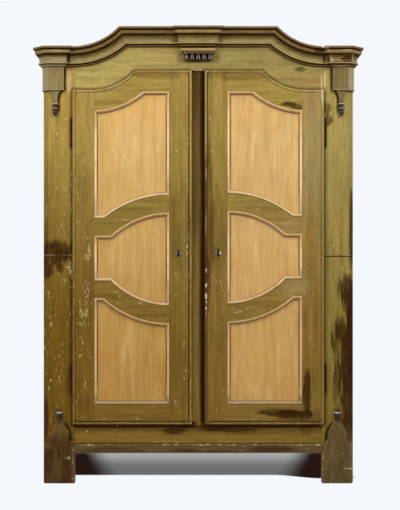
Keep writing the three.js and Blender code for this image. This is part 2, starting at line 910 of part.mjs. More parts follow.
/** The block round the head of the post, with a hollow bracket and a turned drop under it. */
function capital() {
  const foot = doorLow - capitalLap;
  const head = column(capitalPlan(0), foot + capitalFillet, caseTop);
  const fillet = column(capitalPlan(capitalFillet / 3), foot, foot + capitalFillet);
  const neck = foot - bracketHeight;
  const hollow = Array.from({ length: curveSteps + 1 }, (_, i) => {
    const angle = (i / curveSteps) * (Math.PI / 2);
    const reach = (bracketWidth - bracketNeck) / 2;
    return [
      bracketNeck / 2 + reach * (1 - Math.sin(angle)),
      foot - bracketHeight * bracketHollowShare * (1 - Math.cos(angle)),
    ];
  });
  const rightEdge = [[bracketWidth / 2, foot + capitalFillet / 2], ...hollow, [bracketNeck / 2, neck]];
  const leftEdge = rightEdge.map(([x, z]) => [-x, z]).reverse();
  const outline = [...leftEdge, ...rightEdge].map(([x, z]) => [pendantX + x, z]);
  const bracket = slab(outline, capitalFront + bracketSetBack, frontPlane - seat);
  const dropShares = [
    [0, 1.04], [0.72, 1.04], [0.72, 0.97], [0.95, 0.95], [0.95, 0.88], [0.6, 0.85], [0.55, 0.74],
    [0.85, 0.7], [1, 0.6], [0.85, 0.48], [0.55, 0.44], [0.75, 0.38], [0.7, 0.24], [0.4, 0.06], [0, 0],
  ];
  const profile = dropShares.map(([out, up]) => [
    out * dropRadius,
    neck - dropLength + up * dropLength,
  ]);
  const turnedDrop = turnedPiece(profile.reverse(), pendantX, frontPlane - dropRadius / 2);
  const behind = block(
    [pendantX - overrun, frontPlane - seat, neck - dropLength - overrun],
    [pendantX + overrun, frontPlane + overrun, foot],
  );
  return joined(head, fillet, bracket, cut(turnedDrop, behind));
}

/** The bell-shaped board on the foot: wide up to the plinth, then a bell with a ball on its top. */
function footPlate() {
  const shares = [
    [1, 0], [0.93, 0.04], [0.78, 0.075], [0.68, 0.125], [0.61, 0.195], [0.57, 0.3], [0.54, 0.42],
    [0.5, 0.535], [0.43, 0.63], [0.33, 0.73], [0.2, 0.825], [0.085, 0.91], [0, 1],
  ];
  const full = plateWidth / 2;
  const least = plateTopWidth / 2;
  const edge = shares.map(([out, up]) => [
    least + out * (full - least),
    plateShoulder + up * (plateHeight - plateShoulder),
  ]);
  const right = [[full, 0], ...edge];
  const left = right.map(([x, z]) => [-x, z]).reverse();
  const outline = [...right, ...left].map(([x, z]) => [plateX + x, z]);
  const bevel = plateThickness / 5;
  const board = layered(outline, [
    [0, frontPlane - seat],
    [0, frontPlane - plateThickness + bevel],
    [bevel, frontPlane - plateThickness],
  ]);
  const cutFlat = block(
    [plateX - plateWidth, frontPlane - overrun, -overrun],
    [plateX + plateWidth, frontPlane + overrun, 0],
  );
  const ballCentre = plateHeight + ballNeck + ballRadius;
  const low = Math.asin(ballNeckWidth / 2 / ballRadius);
  const round = Array.from({ length: curveSteps * 2 + 1 }, (_, i) => {
    const angle = low + ((Math.PI - low) * i) / (curveSteps * 2);
    return [ballRadius * Math.sin(angle), ballCentre - ballRadius * Math.cos(angle)];
  });
  round[round.length - 1][0] = 0;
  const neckFoot = plateHeight - ballNeck / 2;
  const profile = [[0, neckFoot], [ballNeckWidth / 2, neckFoot], ...round];
  const ball = turnedPiece(profile, plateX, frontPlane - plateThickness / 2, ballSides);
  const behind = block(
    [plateX - overrun, frontPlane - seat, plateHeight - overrun],
    [plateX + overrun, frontPlane + overrun, plateHeight + overrun * 2],
  );
  return joined(cut(board, cutFlat), cut(ball, behind));
}

// Assembly

const object = new THREE.Group();

/** Adds one named piece to a group. */
function add(group, name, geometry, finish) {
  const mesh = new THREE.Mesh(
    geometry,
    new THREE.MeshStandardMaterial({ ...finish, flatShading: true }),
  );
  mesh.name = name;
  group.add(mesh);
}

/** Adds a piece, made for the right-hand side, to the side that is asked for. */
function addSided(group, name, side, solid, finish) {
  const geometry = toGeometry(solid);
  add(group, `${name}_${side}`, side === "right" ? geometry : mirrored(geometry), finish);
}

function buildCase() {
  const group = new THREE.Group();
  const seamGap = seat / 2;
  const fieldTop = crownFoot - sideFieldMargin;
  for (const side of ["left", "right"]) {
    const put = (name, solid, finish) => addSided(group, name, side, solid, finish);
    put("corner_post_lower", cornerPost(0, seamHeight - seamGap, false), paint);
    put("corner_post_upper", cornerPost(seamHeight + seamGap, caseTop, true), paint);
    put(
      "side_lower",
      sideBoard(0, seamHeight - seamGap, openingBottom, seamHeight - sideFieldMargin),
      paint,
    );
    put(
      "side_upper",
      sideBoard(seamHeight + seamGap, caseTop, seamHeight + sideFieldMargin, fieldTop),
      paint,
    );
    put("capital", capital(), paint);
    put("foot_plate", footPlate(), footPaint);
  }
  const put = (name, solid, finish) => add(group, name, toGeometry(solid), finish);
  const housed = sideInner + housingDepth - seat;
  put("frieze", friezeBoard(), paint);
  put("base_rail", baseRail(), paint);
  put("centre_post", centrePost(), paint);
  put("crown", crown(), paint);
  put("floor_board", innerBoard(floorBoardTop - boardThickness, frameBack + seat, housed), bareWood);
  put("roof_board", innerBoard(roofBoardFoot, frameBack + seat, housed), bareWood);
  for (const [level, foot] of Object.entries(shelfHeights)) {
    put(`shelf_${level}`, innerBoard(foot, frontPlane + shelfSetBack, housed), bareWood);
  }
  put("back_lower", backBoard(backRise, seamHeight - seamGap), bareWood);
  put("back_upper", backBoard(seamHeight + seamGap, caseTop), bareWood);
  return group;
}

function buildHinges(side) {
  const group = new THREE.Group();
  for (const [level, middle] of Object.entries(hingeHeights)) {
    const floor = middle - hingeLength / 2;
    addSided(group, `hinge_${level}_pin_half`, side, caseHingeHalf(floor), iron);
    addSided(group, `hinge_${level}_door_half`, side, doorHingeHalf(floor), iron);
  }
  return group;
}

function buildDoor(side) {
  const group = new THREE.Group();
  const openings = panelOpenings(railLifts[side]);
  for (const [name, solid] of Object.entries(doorFrame(openings))) {
    addSided(group, `door_${name}`, side, solid, paint);
  }
  for (const [level, loop] of Object.entries(openings)) {
    addSided(group, `door_panel_${level}`, side, doorPanel(loop), ochre);
    addSided(group, `panel_moulding_${level}`, side, panelMoulding(loop), peach);
  }
  addSided(group, "escutcheon", side, escutcheon(), iron);
  addSided(group, "lock_case", side, lockCase(), iron);
  addSided(group, "lock_bolt", side, lockBolt(), iron);
  return group;
}

object.add(buildCase());
for (const side of ["left", "right"]) {
  object.add(buildHinges(side), buildDoor(side));
}

export default object;
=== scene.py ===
"""A painted two-door kas cupboard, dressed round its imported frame. Metres, up is +Z, doors face -Y."""

import bmesh
import bpy
import numpy as np
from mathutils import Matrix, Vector


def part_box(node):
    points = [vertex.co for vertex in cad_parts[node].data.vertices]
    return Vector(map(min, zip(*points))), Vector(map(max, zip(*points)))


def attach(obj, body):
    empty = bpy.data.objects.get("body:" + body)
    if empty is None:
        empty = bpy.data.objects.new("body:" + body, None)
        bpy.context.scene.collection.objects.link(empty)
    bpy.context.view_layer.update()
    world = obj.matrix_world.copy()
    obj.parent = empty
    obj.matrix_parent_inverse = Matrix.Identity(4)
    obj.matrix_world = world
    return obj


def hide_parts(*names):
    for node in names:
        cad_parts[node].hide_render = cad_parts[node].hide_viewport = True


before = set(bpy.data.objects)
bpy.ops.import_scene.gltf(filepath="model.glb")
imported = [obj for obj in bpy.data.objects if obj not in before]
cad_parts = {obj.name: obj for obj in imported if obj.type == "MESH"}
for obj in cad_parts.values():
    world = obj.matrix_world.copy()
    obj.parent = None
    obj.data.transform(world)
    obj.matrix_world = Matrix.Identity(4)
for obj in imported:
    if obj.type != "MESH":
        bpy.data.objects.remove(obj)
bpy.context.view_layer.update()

# Places read from the frame
post_low, post_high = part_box("corner_post_upper_right")
stile_low, stile_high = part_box("door_hinge_stile_right")
lock_low, lock_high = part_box("door_lock_stile_right")
crown_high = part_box("crown")[1]
plate_low, plate_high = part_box("foot_plate_right")
plaque_low, plaque_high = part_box("escutcheon_right")
case_low, case_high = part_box("lock_case_right")
back_low, back_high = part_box("back_upper")
rail_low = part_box("base_rail")[0]
panel_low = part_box("door_panel_upper_right")[0]

FRONT = post_low.y
BACK = back_high.y
CASE_HALF = post_high.x
CASE_TOP = post_high.z
SEAM = post_low.z
LIP_FACE = stile_low.y
DOOR_FOOT = stile_low.z
DOOR_LOW = stile_high.z
DOOR_HIGH = lock_high.z
LOCK_EDGE = lock_low.x
HINGE_EDGE = stile_high.x
PANEL_FACE = panel_low.y
CROWN_TOP = crown_high.z

# Joinery sizes
SEAT = 0.0003
BACK_BOARDS = 8
PLINTH_CREST = rail_low.z + 0.042
POST_CANT = 0.028
COVE_RADIUS = 0.264
COVE_X = HINGE_EDGE - 0.089
LOCK_STILE = 0.104
HINGE_STILE = 0.101
TOP_RAIL = 0.096
BOTTOM_RAIL = 0.093
MID_RAIL = 0.078
UPPER_RAIL = {"flat": 0.952, "bow": 0.106, "radius": 0.480}
LOWER_RAIL = {"flat": 0.585, "bow": 0.1155, "radius": 0.456}
RAIL_LIFT = {"left": 0.0, "right": 0.009}
BEAD = 0.012
BEAD_GROOVE = 0.0045
MOULDING_WIDTH = 0.017

# Crown and keystone
CROWN_HEIGHT = 0.090
CROWN_RISE = 0.092
CROWN_OUT = 0.042
CROWN_RADIUS = 0.388
CROWN_COVE_X = CASE_HALF - 0.140
BREAK = 0.014
KEYSTONE_HALF = 0.075
KEYSTONE_DROP = 0.060
KEYSTONE_LEAD = 0.007
KEYSTONE_BAND = 0.014
KEYSTONE_BEAD = 0.008
KEYSTONE_STEP = 0.003
CROWN_FOOT = CROWN_TOP - CROWN_HEIGHT - CROWN_RISE
CROWN_CENTRE = CROWN_TOP - CROWN_HEIGHT
LOBES = 5
LOBE_ROW = 0.131
LOBE_GAP = 0.0075
LOBE_TAPER = 0.002
LOBE_DEPTH = 0.010

# Capitals, pendants and feet
CAPITAL_FRONT = FRONT - BREAK
CAPITAL_OUTER = CASE_HALF + 0.004
CAPITAL_INNER = CAPITAL_OUTER - 0.1015
CAPITAL_CANT = 0.030
CAPITAL_BACK = FRONT + 0.060
CAPITAL_FOOT = DOOR_LOW - 0.00325
CAPITAL_FILLET = 0.006
CAPITAL_ROLL = 0.0022
PENDANT_X = (CAPITAL_INNER + CAPITAL_OUTER - CAPITAL_CANT) / 2 + 0.004
BRACKET_HEIGHT = 0.062
BRACKET_HALF = 0.034
BRACKET_NECK = 0.010
BRACKET_SET_BACK = 0.004
BRACKET_EASE = 0.0016
DROP_RADIUS = 0.015
DROP_LENGTH = 0.060
DROP_SUNK = 0.002
PLATE_X = (plate_low.x + plate_high.x) / 2
PLATE_HALF = (plate_high.x - plate_low.x) / 2
PLATE_TOP = 0.290
PLATE_SHOULDER = 0.176
PLATE_TOP_HALF = 0.012
PLATE_THICKNESS = 0.014
PLATE_SHARES = [
    (1.0, 0.0), (0.93, 0.04), (0.78, 0.075), (0.68, 0.125), (0.61, 0.195), (0.57, 0.3), (0.54, 0.42),
    (0.5, 0.535), (0.43, 0.63), (0.33, 0.73), (0.2, 0.825), (0.085, 0.91), (0.0, 1.0),
]
PLATE_WORN = 0.009
PLATE_EASE = 0.0028
BALL_RADIUS = 0.017
BALL_NECK = 0.016
BALL_NECK_HALF = 0.009

# Ironwork
PIN_RADIUS = 0.003
BARREL_RADIUS = 0.0055
BARREL_LENGTH = 0.120
BARREL_TIP = 0.012
BARREL_EASE = 0.0006
PIN_PLAY = 0.0004
LEAF_THICKNESS = 0.0025
LEAF_DEPTH = 0.024
LEAF_HEIGHT = 0.050
LEAF_EASE = 0.0004
HINGE_OFFSET = 0.007
KEY_X = LOCK_EDGE + 0.063
KEY_Z = (plaque_low.z + plaque_high.z) / 2
PLAQUE_POWER = 0.86
KEY_EYE = 0.0052
KEY_SLOT = 0.0030
KEY_DROP = 0.0145
PIN_HEAD = {"radius": 0.0017, "height": 0.0009}
SCREW_HEAD = {"radius": 0.0045, "height": 0.0018}
SCREW_INSET = 0.012

# How finely curves are drawn
COVE_STEPS = 48
RAIL_STEPS = 40
TURN_SIDES = 40
BARREL_SIDES = 28
SMOOTH_ANGLE = np.radians(38)
WELD = 1e-6

SIDES = {"left": -1, "right": 1}
LEVELS = ("lower", "middle", "upper")


# Shader maths


class Value:
    """A shader socket that takes part in sums: each operator adds the Math node that it stands for."""

    def __init__(self, finish, socket):
        self.finish = finish
        self.socket = socket

    def math(self, operation, first, second=0.0):
        return self.finish.node("ShaderNodeMath", {"operation": operation}, {0: first, 1: second})

    def __add__(self, other):
        return self.math("ADD", self, other)

    def __radd__(self, other):
        return self.math("ADD", other, self)

    def __sub__(self, other):
        return self.math("SUBTRACT", self, other)

    def __rsub__(self, other):
        return self.math("SUBTRACT", other, self)

    def __mul__(self, other):
        return self.math("MULTIPLY", self, other)

    def __rmul__(self, other):
        return self.math("MULTIPLY", other, self)

    def __truediv__(self, other):
        return self.math("DIVIDE", self, other)

    def __pow__(self, other):
        return self.math("POWER", self, other)

    def __abs__(self):
        return self.math("ABSOLUTE", self)

    def least(self, other):
        return self.math("MINIMUM", self, other)

    def most(self, other):
        return self.math("MAXIMUM", self, other)

    def step(self, low, high):
        """0 at one edge and 1 at the other, with a soft rise between them. The edges may be turned."""
        sockets = {"Value": self, "From Min": low, "From Max": high}
        return self.finish.node("ShaderNodeMapRange", {"interpolation_type": "SMOOTHSTEP"}, sockets)


def linear(red, green, blue):
    """A colour written in 0 to 255 steps of a screen, as the light it stands for."""
    value = np.array([red, green, blue]) / 255
    light = np.where(value <= 0.04045, value / 12.92, ((value + 0.055) / 1.055) ** 2.4)
    return (*light.tolist(), 1.0)


def lit(tone):
    """A colour of three numbers is written in screen steps. Any other is light already, or a node's."""
    return linear(*tone) if isinstance(tone, tuple) and len(tone) == 3 else tone


class Finish:
    """A material in the making: its nodes, the places that they read and the patterns on them."""

    def __init__(self, name, specular=0.05):
        self.material = bpy.data.materials.new(name)
        self.material.use_nodes = True
        self.tree = self.material.node_tree
        self.shader = self.tree.nodes["Principled BSDF"]
        self.set("Specular IOR Level", specular)
        self.place = self.node("ShaderNodeTexCoord", output="Object")
        self.x, self.y, self.z = (
            self.node("ShaderNodeSeparateXYZ", {}, {0: self.place}, axis) for axis in ("X", "Y", "Z")
        )

    def coat(self, tone, amount):
        """Lays a tone over the colour so far."""
        self.colour = self.mix(self.colour, tone, amount)

    def stain(self, tint, amount):
        """Multiplies the colour so far by a tint."""
        self.colour = self.tint(self.colour, tint, amount)

    def darken(self, factor):
        """Makes the colour so far lighter or darker by a factor round 1."""
        self.colour = self.shade(self.colour, factor)

    def finished(self, roughness, height, distance, strength):
        """Closes the material: the colour so far, a roughness, and a bump from a height."""
        self.set("Base Color", self.colour)
        self.set("Roughness", roughness)
        self.bump(height, distance, strength)
        return self.material

    def node(self, kind, settings=None, inputs=None, output=0):
        """Adds one node: its settings first, then the values or links of its sockets."""
        made = self.tree.nodes.new(kind)
        for name, value in (settings or {}).items():
            if name == "stops":
                self.fill(made.color_ramp, value)
            else:
                setattr(made, name, value)
        for key, value in (inputs or {}).items():
            self.feed(made.inputs[key], value)
        return Value(self, made.outputs[output])

    def fill(self, ramp, stops):
        while len(ramp.elements) < len(stops):
            ramp.elements.new(1.0)
        for element, (place, colour) in zip(ramp.elements, stops):
            element.position = place
            element.color = colour

    def feed(self, socket, value):
        if isinstance(value, Value):
            self.tree.links.new(value.socket, socket)
        else:
            socket.default_value = value

    def set(self, name, value):
        self.feed(self.shader.inputs[name], value)

    def mix(self, first, second, factor, kind="MIX"):
        settings = {"data_type": "RGBA", "blend_type": kind}
        sockets = {0: factor, 6: lit(first), 7: lit(second)}
        return self.node("ShaderNodeMix", settings, sockets, output=2)

    def tint(self, colour, tint, factor):
        """A colour multiplied by a tint, where the factor is 1, and left as it is where it is 0."""
        return self.mix(colour, tint, factor, "MULTIPLY")

    def shade(self, colour, factor):
        """A colour made lighter or darker by a factor round 1."""
        grey = self.node("ShaderNodeCombineXYZ", {}, {0: factor, 1: factor, 2: factor})
        return self.node("ShaderNodeVectorMath", {"operation": "MULTIPLY"}, {0: colour, 1: grey})

    def ramp(self, value, stops):
        return self.node("ShaderNodeValToRGB", {"stops": stops}, {0: value})

    def lightness(self, colour):
        """The grey value of a colour."""
        return self.node("ShaderNodeRGBToBW", {}, {0: colour})

    def noise(self, scale, stretch, detail, rough, shift, wander=0.0):
        """A cloud pattern: the places are drawn out by the stretch, and moved so that no two meet."""
        moved = {"Vector": self.place, "Location": (shift, shift / 2, -shift), "Scale": stretch}
        sockets = {
            "Vector": self.node("ShaderNodeMapping", {}, moved),
            "Scale": scale,
            "Detail": detail,
            "Roughness": rough,
            "Distortion": wander,
        }
        return self.node("ShaderNodeTexNoise", {}, sockets)

    def attribute(self, name):
        return self.node("ShaderNodeAttribute", {"attribute_name": name}, output="Fac")

    def spot(self, x, z, wide, high, ragged):
        """A patch on the front: 1 in its middle, with an edge that a noise makes uneven."""
        across = (self.x - x) / wide
        up = (self.z - z) / high
        far = (across * across + up * up) ** 0.5
        return (far + ragged).step(1.15, 0.65)

    def bump(self, height, distance, strength):
        sockets = {"Strength": strength, "Distance": distance, "Height": height}
        self.set("Normal", self.node("ShaderNodeBump", {}, sockets))


# Finishes


STROKES = {"z": (1, 1, 0.10), "x": (0.10, 1, 1)}
GRAIN = {"z": (1, 1, 0.06), "x": (0.06, 1, 1)}
CLOUDS = {"z": (1, 1, 0.40), "x": (0.40, 1, 1)}
LENGTHS = {"z": (1, 1, 0.03), "x": (0.03, 1, 1)}
LOOPS = {"z": (1, 1, 0.55), "x": (0.55, 1, 1)}
EVEN = (1, 1, 1)
GREENER = (0.94, 1.01, 0.91, 1.0)
BROWNER = (1.05, 0.92, 0.78, 1.0)
CHIP = (212, 190, 130)
# Dark brown for dirt, and also for painted shade in gaps, in hollows, and beside and under parts that stand
# out
GRIME_AND_SHADE = (46, 26, 2)
# Near black brown for smoky stains, and for the spots that are painted shade
SMOKE_AND_SHADE = (58, 30, 2)
# Pale for rubbed edges, and for painted sheen and highlights on beads, fillets and arrises
RUBBED_AND_SHEEN = (176, 156, 112)
SCUFFED = (226, 208, 172)
SEAM_LINE = {"left": (SEAM, (170, 140, 78)), "right": (SEAM - 0.005, (30, 14, 0))}

# The olive paint of each board: its tone near the top of the doors, and near their foot
OLIVE = {
    "post_left": ((163, 136, 66), (118, 86, 26)),
    "post_right": ((160, 142, 82), (136, 114, 52)),
    "hinge_left": ((160, 134, 70), (124, 92, 33)),
    "hinge_right": ((151, 128, 74), (135, 108, 49)),
    "lock_left": ((150, 125, 64), (126, 97, 38)),
    "lock_right": ((148, 124, 62), (131, 101, 44)),
    "rail_left": ((152, 129, 65), (130, 101, 41)),
    "rail_right": ((153, 130, 66), (137, 108, 50)),
    "frieze": ((168, 147, 86), (160, 136, 78)),
    "base_rail": ((150, 122, 60), (136, 107, 46)),
    "side": ((146, 122, 64), (128, 99, 46)),
    "capital_left": ((138, 122, 82), (132, 112, 70)),
    "capital_right": ((120, 105, 64), (116, 98, 56)),
    "keystone": ((154, 132, 84), (148, 126, 76)),
    "keystone_bead": ((96, 76, 42), (90, 70, 38)),
    # the centre post is darker near its top: painted shade under the frieze
    "centre_post": ((112, 88, 44), (136, 107, 50)),
}
# The heights between which a board's tone turns from the one to the other
TURNING = {"hinge_left": (0.75, 1.78), "post_left": (0.70, 1.80)}
TURNING_ELSEWHERE = (0.45, 1.85)


def door_edge(finish):
    """How far a place lies inside the edge of its door, or outside it where it is below zero."""
    across = abs(finish.x)
    beyond = (COVE_X - across).most(0.0)
    below = finish.z - (DOOR_LOW + COVE_RADIUS)
    cove = (beyond * beyond + below * below) ** 0.5 - COVE_RADIUS
    sides = (across - LOCK_EDGE).least(HINGE_EDGE - across)
    ends = (finish.z - DOOR_FOOT).least(DOOR_HIGH - finish.z)
    return sides.least(ends).least(cove)


def olive_base(finish, board, grain, shift):
    """Old olive oil paint: brush strokes along the board, greener and browner clouds, dark glaze."""
    stroke = finish.noise(64, STROKES[grain], 5, 0.62, wander=0.3, shift=shift)
    band = finish.noise(44, LENGTHS[grain], 3, 0.6, wander=0.1, shift=shift + 12)
    mottle = finish.noise(150, CLOUDS[grain], 3, 0.6, wander=0.4, shift=shift + 2)
    hair = finish.noise(330, GRAIN[grain], 2, 0.5, shift=shift + 3)
    cloud = finish.noise(7, CLOUDS[grain], 5, 0.66, wander=0.5, shift=shift)
    drift = finish.noise(34, CLOUDS[grain], 3, 0.6, wander=0.6, shift=shift + 6)
    glaze = finish.noise(20, STROKES[grain], 5, 0.7, wander=0.8, shift=shift + 8)
    high, low = OLIVE[board]
    finish.colour = finish.mix(low, high, finish.z.step(*TURNING.get(board, TURNING_ELSEWHERE)))
    hue = cloud * 0.5 + drift * 0.25 + band * 0.25
    finish.stain(GREENER, hue.step(0.48, 0.62))
    finish.stain(BROWNER, hue.step(0.52, 0.38))
    strokes = stroke.step(0.28, 0.72)
    fine = mottle.step(0.30, 0.70)
    long = band.step(0.34, 0.66)
    finish.darken(0.62 + 0.32 * strokes + 0.20 * long + 0.18 * fine + 0.08 * hair)
    finish.coat(GRIME_AND_SHADE, glaze.step(0.56, 0.76) * 0.36)
    return stroke, hair


def key_distance(finish):
    """How far a place lies from a keyhole: below 1 inside its eye or its slot."""
    across = abs(abs(finish.x) - KEY_X)
    up = finish.z - KEY_Z
    eye = (across * across + up * up) ** 0.5 / (KEY_EYE + 0.0012)
    slot = (across / (KEY_SLOT + 0.001)).most(abs(up + KEY_DROP / 2) / (KEY_DROP / 2 + 0.001))
    return eye.least(slot)


def smoky_and_shaded_patches(finish, spots, grain, shift):
    """Dark patches, streaked along the board, with ragged ends: nearly black brown smoky stains and damp,
    and in some places painted shade next to parts that stand out.
    """
    if not spots:
        return
    reach = (finish.noise(26, STROKES[grain], 6, 0.76, shift=shift) - 0.5) * 2.6
    thin = finish.noise(120, STROKES[grain], 3, 0.6, wander=0.4, shift=shift + 1).step(0.64, 0.44)
    for x, z, wide, high, depth in spots:
        patch = finish.spot(x, z, wide, high, reach)
        finish.coat(SMOKE_AND_SHADE, patch * (0.72 + 0.28 * thin) * depth)


def shadow_beside_capital(finish):
    """Painted shadow on a corner post along the inner side of its capital, bracket and drop."""
    below = ((CAPITAL_FOOT - finish.z) / (BRACKET_HEIGHT * 0.75)).most(0.0).least(1.0)
    level = 1.0 - below
    hollow = 1.0 - (1.0 - level * level) ** 0.5
    bracket = BRACKET_NECK + (BRACKET_HALF - BRACKET_NECK) * hollow
    half = (PENDANT_X - CAPITAL_INNER - 0.001) * finish.z.step(CAPITAL_FOOT - 0.001, CAPITAL_FOOT)
    gap = PENDANT_X - half.most(bracket) - abs(finish.x)
    tip = CAPITAL_FOOT - BRACKET_HEIGHT - DROP_LENGTH
    dark = gap.step(0.016, 0.008) * gap.step(-0.004, 0.0)
    dark = dark * finish.z.step(tip + 0.01, tip + 0.04)
    return dark * finish.y.step(FRONT + 0.002, FRONT + 0.0005)


def shadow_beside_foot(finish):
    """Painted shadow on a corner post round the bell of its foot board, on the inner side."""
    share = ((finish.z - PLATE_SHOULDER) / (PLATE_TOP - PLATE_SHOULDER)).most(0.0).least(1.0)
    bell = finish.ramp(share, [(up, (out, out, out, 1.0)) for out, up in PLATE_SHARES])
    reach = PLATE_TOP_HALF + (PLATE_HALF - PLATE_TOP_HALF) * finish.lightness(bell)
    gap = PLATE_X - reach - abs(finish.x)
    dark = gap.step(0.018, 0.010) * gap.step(-0.006, 0.0)
    span = finish.z.step(PLATE_SHOULDER + 0.004, PLATE_SHOULDER + 0.03)
    return dark * span * finish.z.step(PLATE_TOP - 0.002, PLATE_TOP - 0.02)


def chipped(finish, grain, chips, worn, shift):
    """Lost paint: short bent scratches and a few round flecks, thick where the worn places are.
    Gives how much of the paint is thin, and how much is gone."""
    fleck = finish.noise(104, CLOUDS[grain], 3, 0.55, wander=0.35, shift=shift + 11)
    bend = finish.noise(52, LOOPS[grain], 2, 0.45, wander=0.8, shift=shift + 15)
    length = finish.noise(66, CLOUDS[grain], 2, 0.5, shift=shift + 18)
    crowd = finish.noise(14, CLOUDS[grain], 3, 0.6, shift=shift + 5)
    density = crowd * 0.42 - 0.12 + chips
    for x, z, wide, high, amount in worn:
        density = density + finish.spot(x, z, wide, high, (crowd - 0.5) * 2.0) * amount
    scratch = abs(bend - 0.5).step(0.050, 0.020) * (length + density).step(0.715, 0.80)
    round_chip = (fleck + density).step(0.835, 0.87)
    faint = (fleck + density).step(0.775, 0.835)
    return faint, round_chip.most(scratch)


def rim_wear_and_shade(finish, edge, right, shift):
    """A door's edge: its bead is rubbed pale, partly as painted sheen, the groove behind it holds dirt
    and painted shade, and its rim a thin painted shade line for the gap.
    """
    lockside = abs(finish.x).step(LOCK_EDGE + 0.03, LOCK_EDGE + 0.02)
    foot = finish.z.step(DOOR_FOOT + 0.03, DOOR_FOOT + 0.02)
    depth = 0.12 + 0.62 * lockside.most(foot)
    rub = finish.noise(40, EVEN, 3, 0.6, shift=shift + 13).step(0.38, 0.62)
    groove = abs(edge - BEAD - BEAD_GROOVE * 0.5).step(BEAD_GROOVE * 1.2, BEAD_GROOVE * 0.3)
    bead = abs(edge - BEAD * 0.5).step(BEAD * 0.40, BEAD * 0.12)
    bead = bead * (1.0 - 0.35 * foot)
    if right:
        hidden = lockside * finish.z.step(1.62, 1.40)
        bead = bead * (1.0 - 0.96 * hidden)
        groove = groove * (1.0 - 0.85 * hidden)
        finish.coat(SMOKE_AND_SHADE, hidden * edge.step(0.017, 0.006) * 0.55)
    hinged = abs(finish.x).step(HINGE_EDGE - 0.03, HINGE_EDGE - 0.02)
    finish.coat((104, 74, 40), bead * foot * 0.8)
    finish.coat(RUBBED_AND_SHEEN, bead * (0.06 + 0.5 * rub) * (1.0 - 0.45 * hinged))
    finish.coat(GRIME_AND_SHADE, groove * depth)
    # painted shade: a thin dark line for the gap at the door's edge
    finish.coat(GRIME_AND_SHADE, edge.step(0.0024, 0.0004) * 0.8)


def capital_cant_highlight(finish, pale):
    """A capital's canted face, given a painted highlight: it catches more light than its front."""
    crease = CAPITAL_OUTER - CAPITAL_CANT
    cant = abs(finish.x).step(crease - 0.001, crease + 0.002)
    cant = cant * finish.z.step(CAPITAL_FOOT - 0.002, CAPITAL_FOOT + 0.002)
    finish.coat((188, 174, 138), cant * pale)


def base_rail_wear_and_shade(finish, edge, shift):
    """The base rail: a grey plinth with a knocked crest and a dark line along it, and a painted shadow
    under the doors.
    """
    below = finish.z.step(PLINTH_CREST + 0.002, PLINTH_CREST - 0.002)
    finish.coat(finish.tint(finish.colour, (0.44, 0.42, 0.40, 1.0), 1.0), below * 0.9)
    finish.coat((104, 90, 68), below * 0.42)
    crest = abs(finish.z - PLINTH_CREST + 0.004).step(0.005, 0.002)
    knock = finish.noise(70, (0.5, 1, 1), 3, 0.6, wander=0.8, shift=shift + 21)
    finish.coat(CHIP, (knock + crest * 0.10).step(0.66, 0.70) * below * 0.5)
    line = abs(finish.z - PLINTH_CREST - 0.001).step(0.0045, 0.0015)
    finish.coat(GRIME_AND_SHADE, line * 0.55)
    # painted shadow of the doors' lips on the rail below them
    under = abs(edge).step(0.022, 0.012)
    finish.coat((70, 40, 4), under * 0.92)
    finish.coat(GRIME_AND_SHADE, abs(edge).step(0.055, 0.022) * 0.38)


def scuff(finish, places, ragged, facing=None):
    """Places rubbed down to a pale ground. Facing, where it is given, keeps them to the front."""
    for x, z, wide, high, amount in places:
        rubbed = finish.spot(x, z, wide, high, ragged)
        if facing:
            rubbed = rubbed * finish.y.step(*facing)
        finish.coat(SCUFFED, rubbed * amount)


def olive_paint(
    name, board, grain, shift=0.0, spots=(), chips=0.0, worn=(), rim=False, seam=None, scuffs=(), lean=0.0
):
    """The painted boards. Spots are dark patches, smoky stains and in some places painted shade, worn
    says where chips crowd together, scuffs are places rubbed pale, and lean is how much darker the
    board is on its right."""
    finish = Finish(name)
    right = board.endswith("right")
    stroke, hair = olive_base(finish, board, grain, shift)
    if lean:
        finish.darken(1.0 - lean * finish.x.step(-0.60, 0.35))
    faint, chip = chipped(finish, grain, chips, worn, shift)
    edge = door_edge(finish)
    if rim:
        rim_wear_and_shade(finish, edge, right, shift)
    else:
        # painted shade along the door openings, with some dirt
        finish.coat(GRIME_AND_SHADE, abs(edge).step(0.016, 0.003) * 0.6)
    # painted shadow beside the capitals, brackets, drops and foot bells
    if board.startswith("post"):
        finish.coat(GRIME_AND_SHADE, shadow_beside_capital(finish) * 0.85)
        finish.coat(GRIME_AND_SHADE, shadow_beside_foot(finish) * 0.85)
    if board.startswith("lock"):
        # painted shade: near black on the stile behind each keyhole, for the dark of the hole
        finish.coat((6, 3, 1), key_distance(finish).step(1.1, 0.95))
    if board.startswith("capital"):
        capital_cant_highlight(finish, 0.55 if right else 0.3)
    if board == "base_rail":
        base_rail_wear_and_shade(finish, edge, shift)
    if seam:
        level, tone = seam
        finish.coat(tone, abs(finish.z - level).step(0.0042, 0.0022) * 0.85)
    force = 0.26 + 0.44 * finish.noise(38, EVEN, 2, 0.5, shift=shift + 25).step(0.42, 0.62)
    finish.coat(CHIP, faint * 0.26 + chip * force)
    smoky_and_shaded_patches(finish, spots, grain, shift + 7)
    if scuffs:
        scuff(finish, scuffs, (finish.noise(210, (1, 1, 0.6), 2, 0.5, shift=shift + 27) - 0.5) * 2.4)
    relief = finish.attribute("relief")
    # hollows and back faces darkened, dirt and painted shade together; crests paler, rubbed and with
    # painted highlight
    finish.coat(GRIME_AND_SHADE, relief.step(-0.00025, -0.0014) * 0.85)
    finish.coat(RUBBED_AND_SHEEN, relief.step(0.0002, 0.0011) * 0.5)
    roughness = 0.42 + 0.22 * stroke + 0.1 * chip
    return finish.finished(roughness, stroke + hair * 0.3 - chip * 0.7, 0.0008, 0.55)


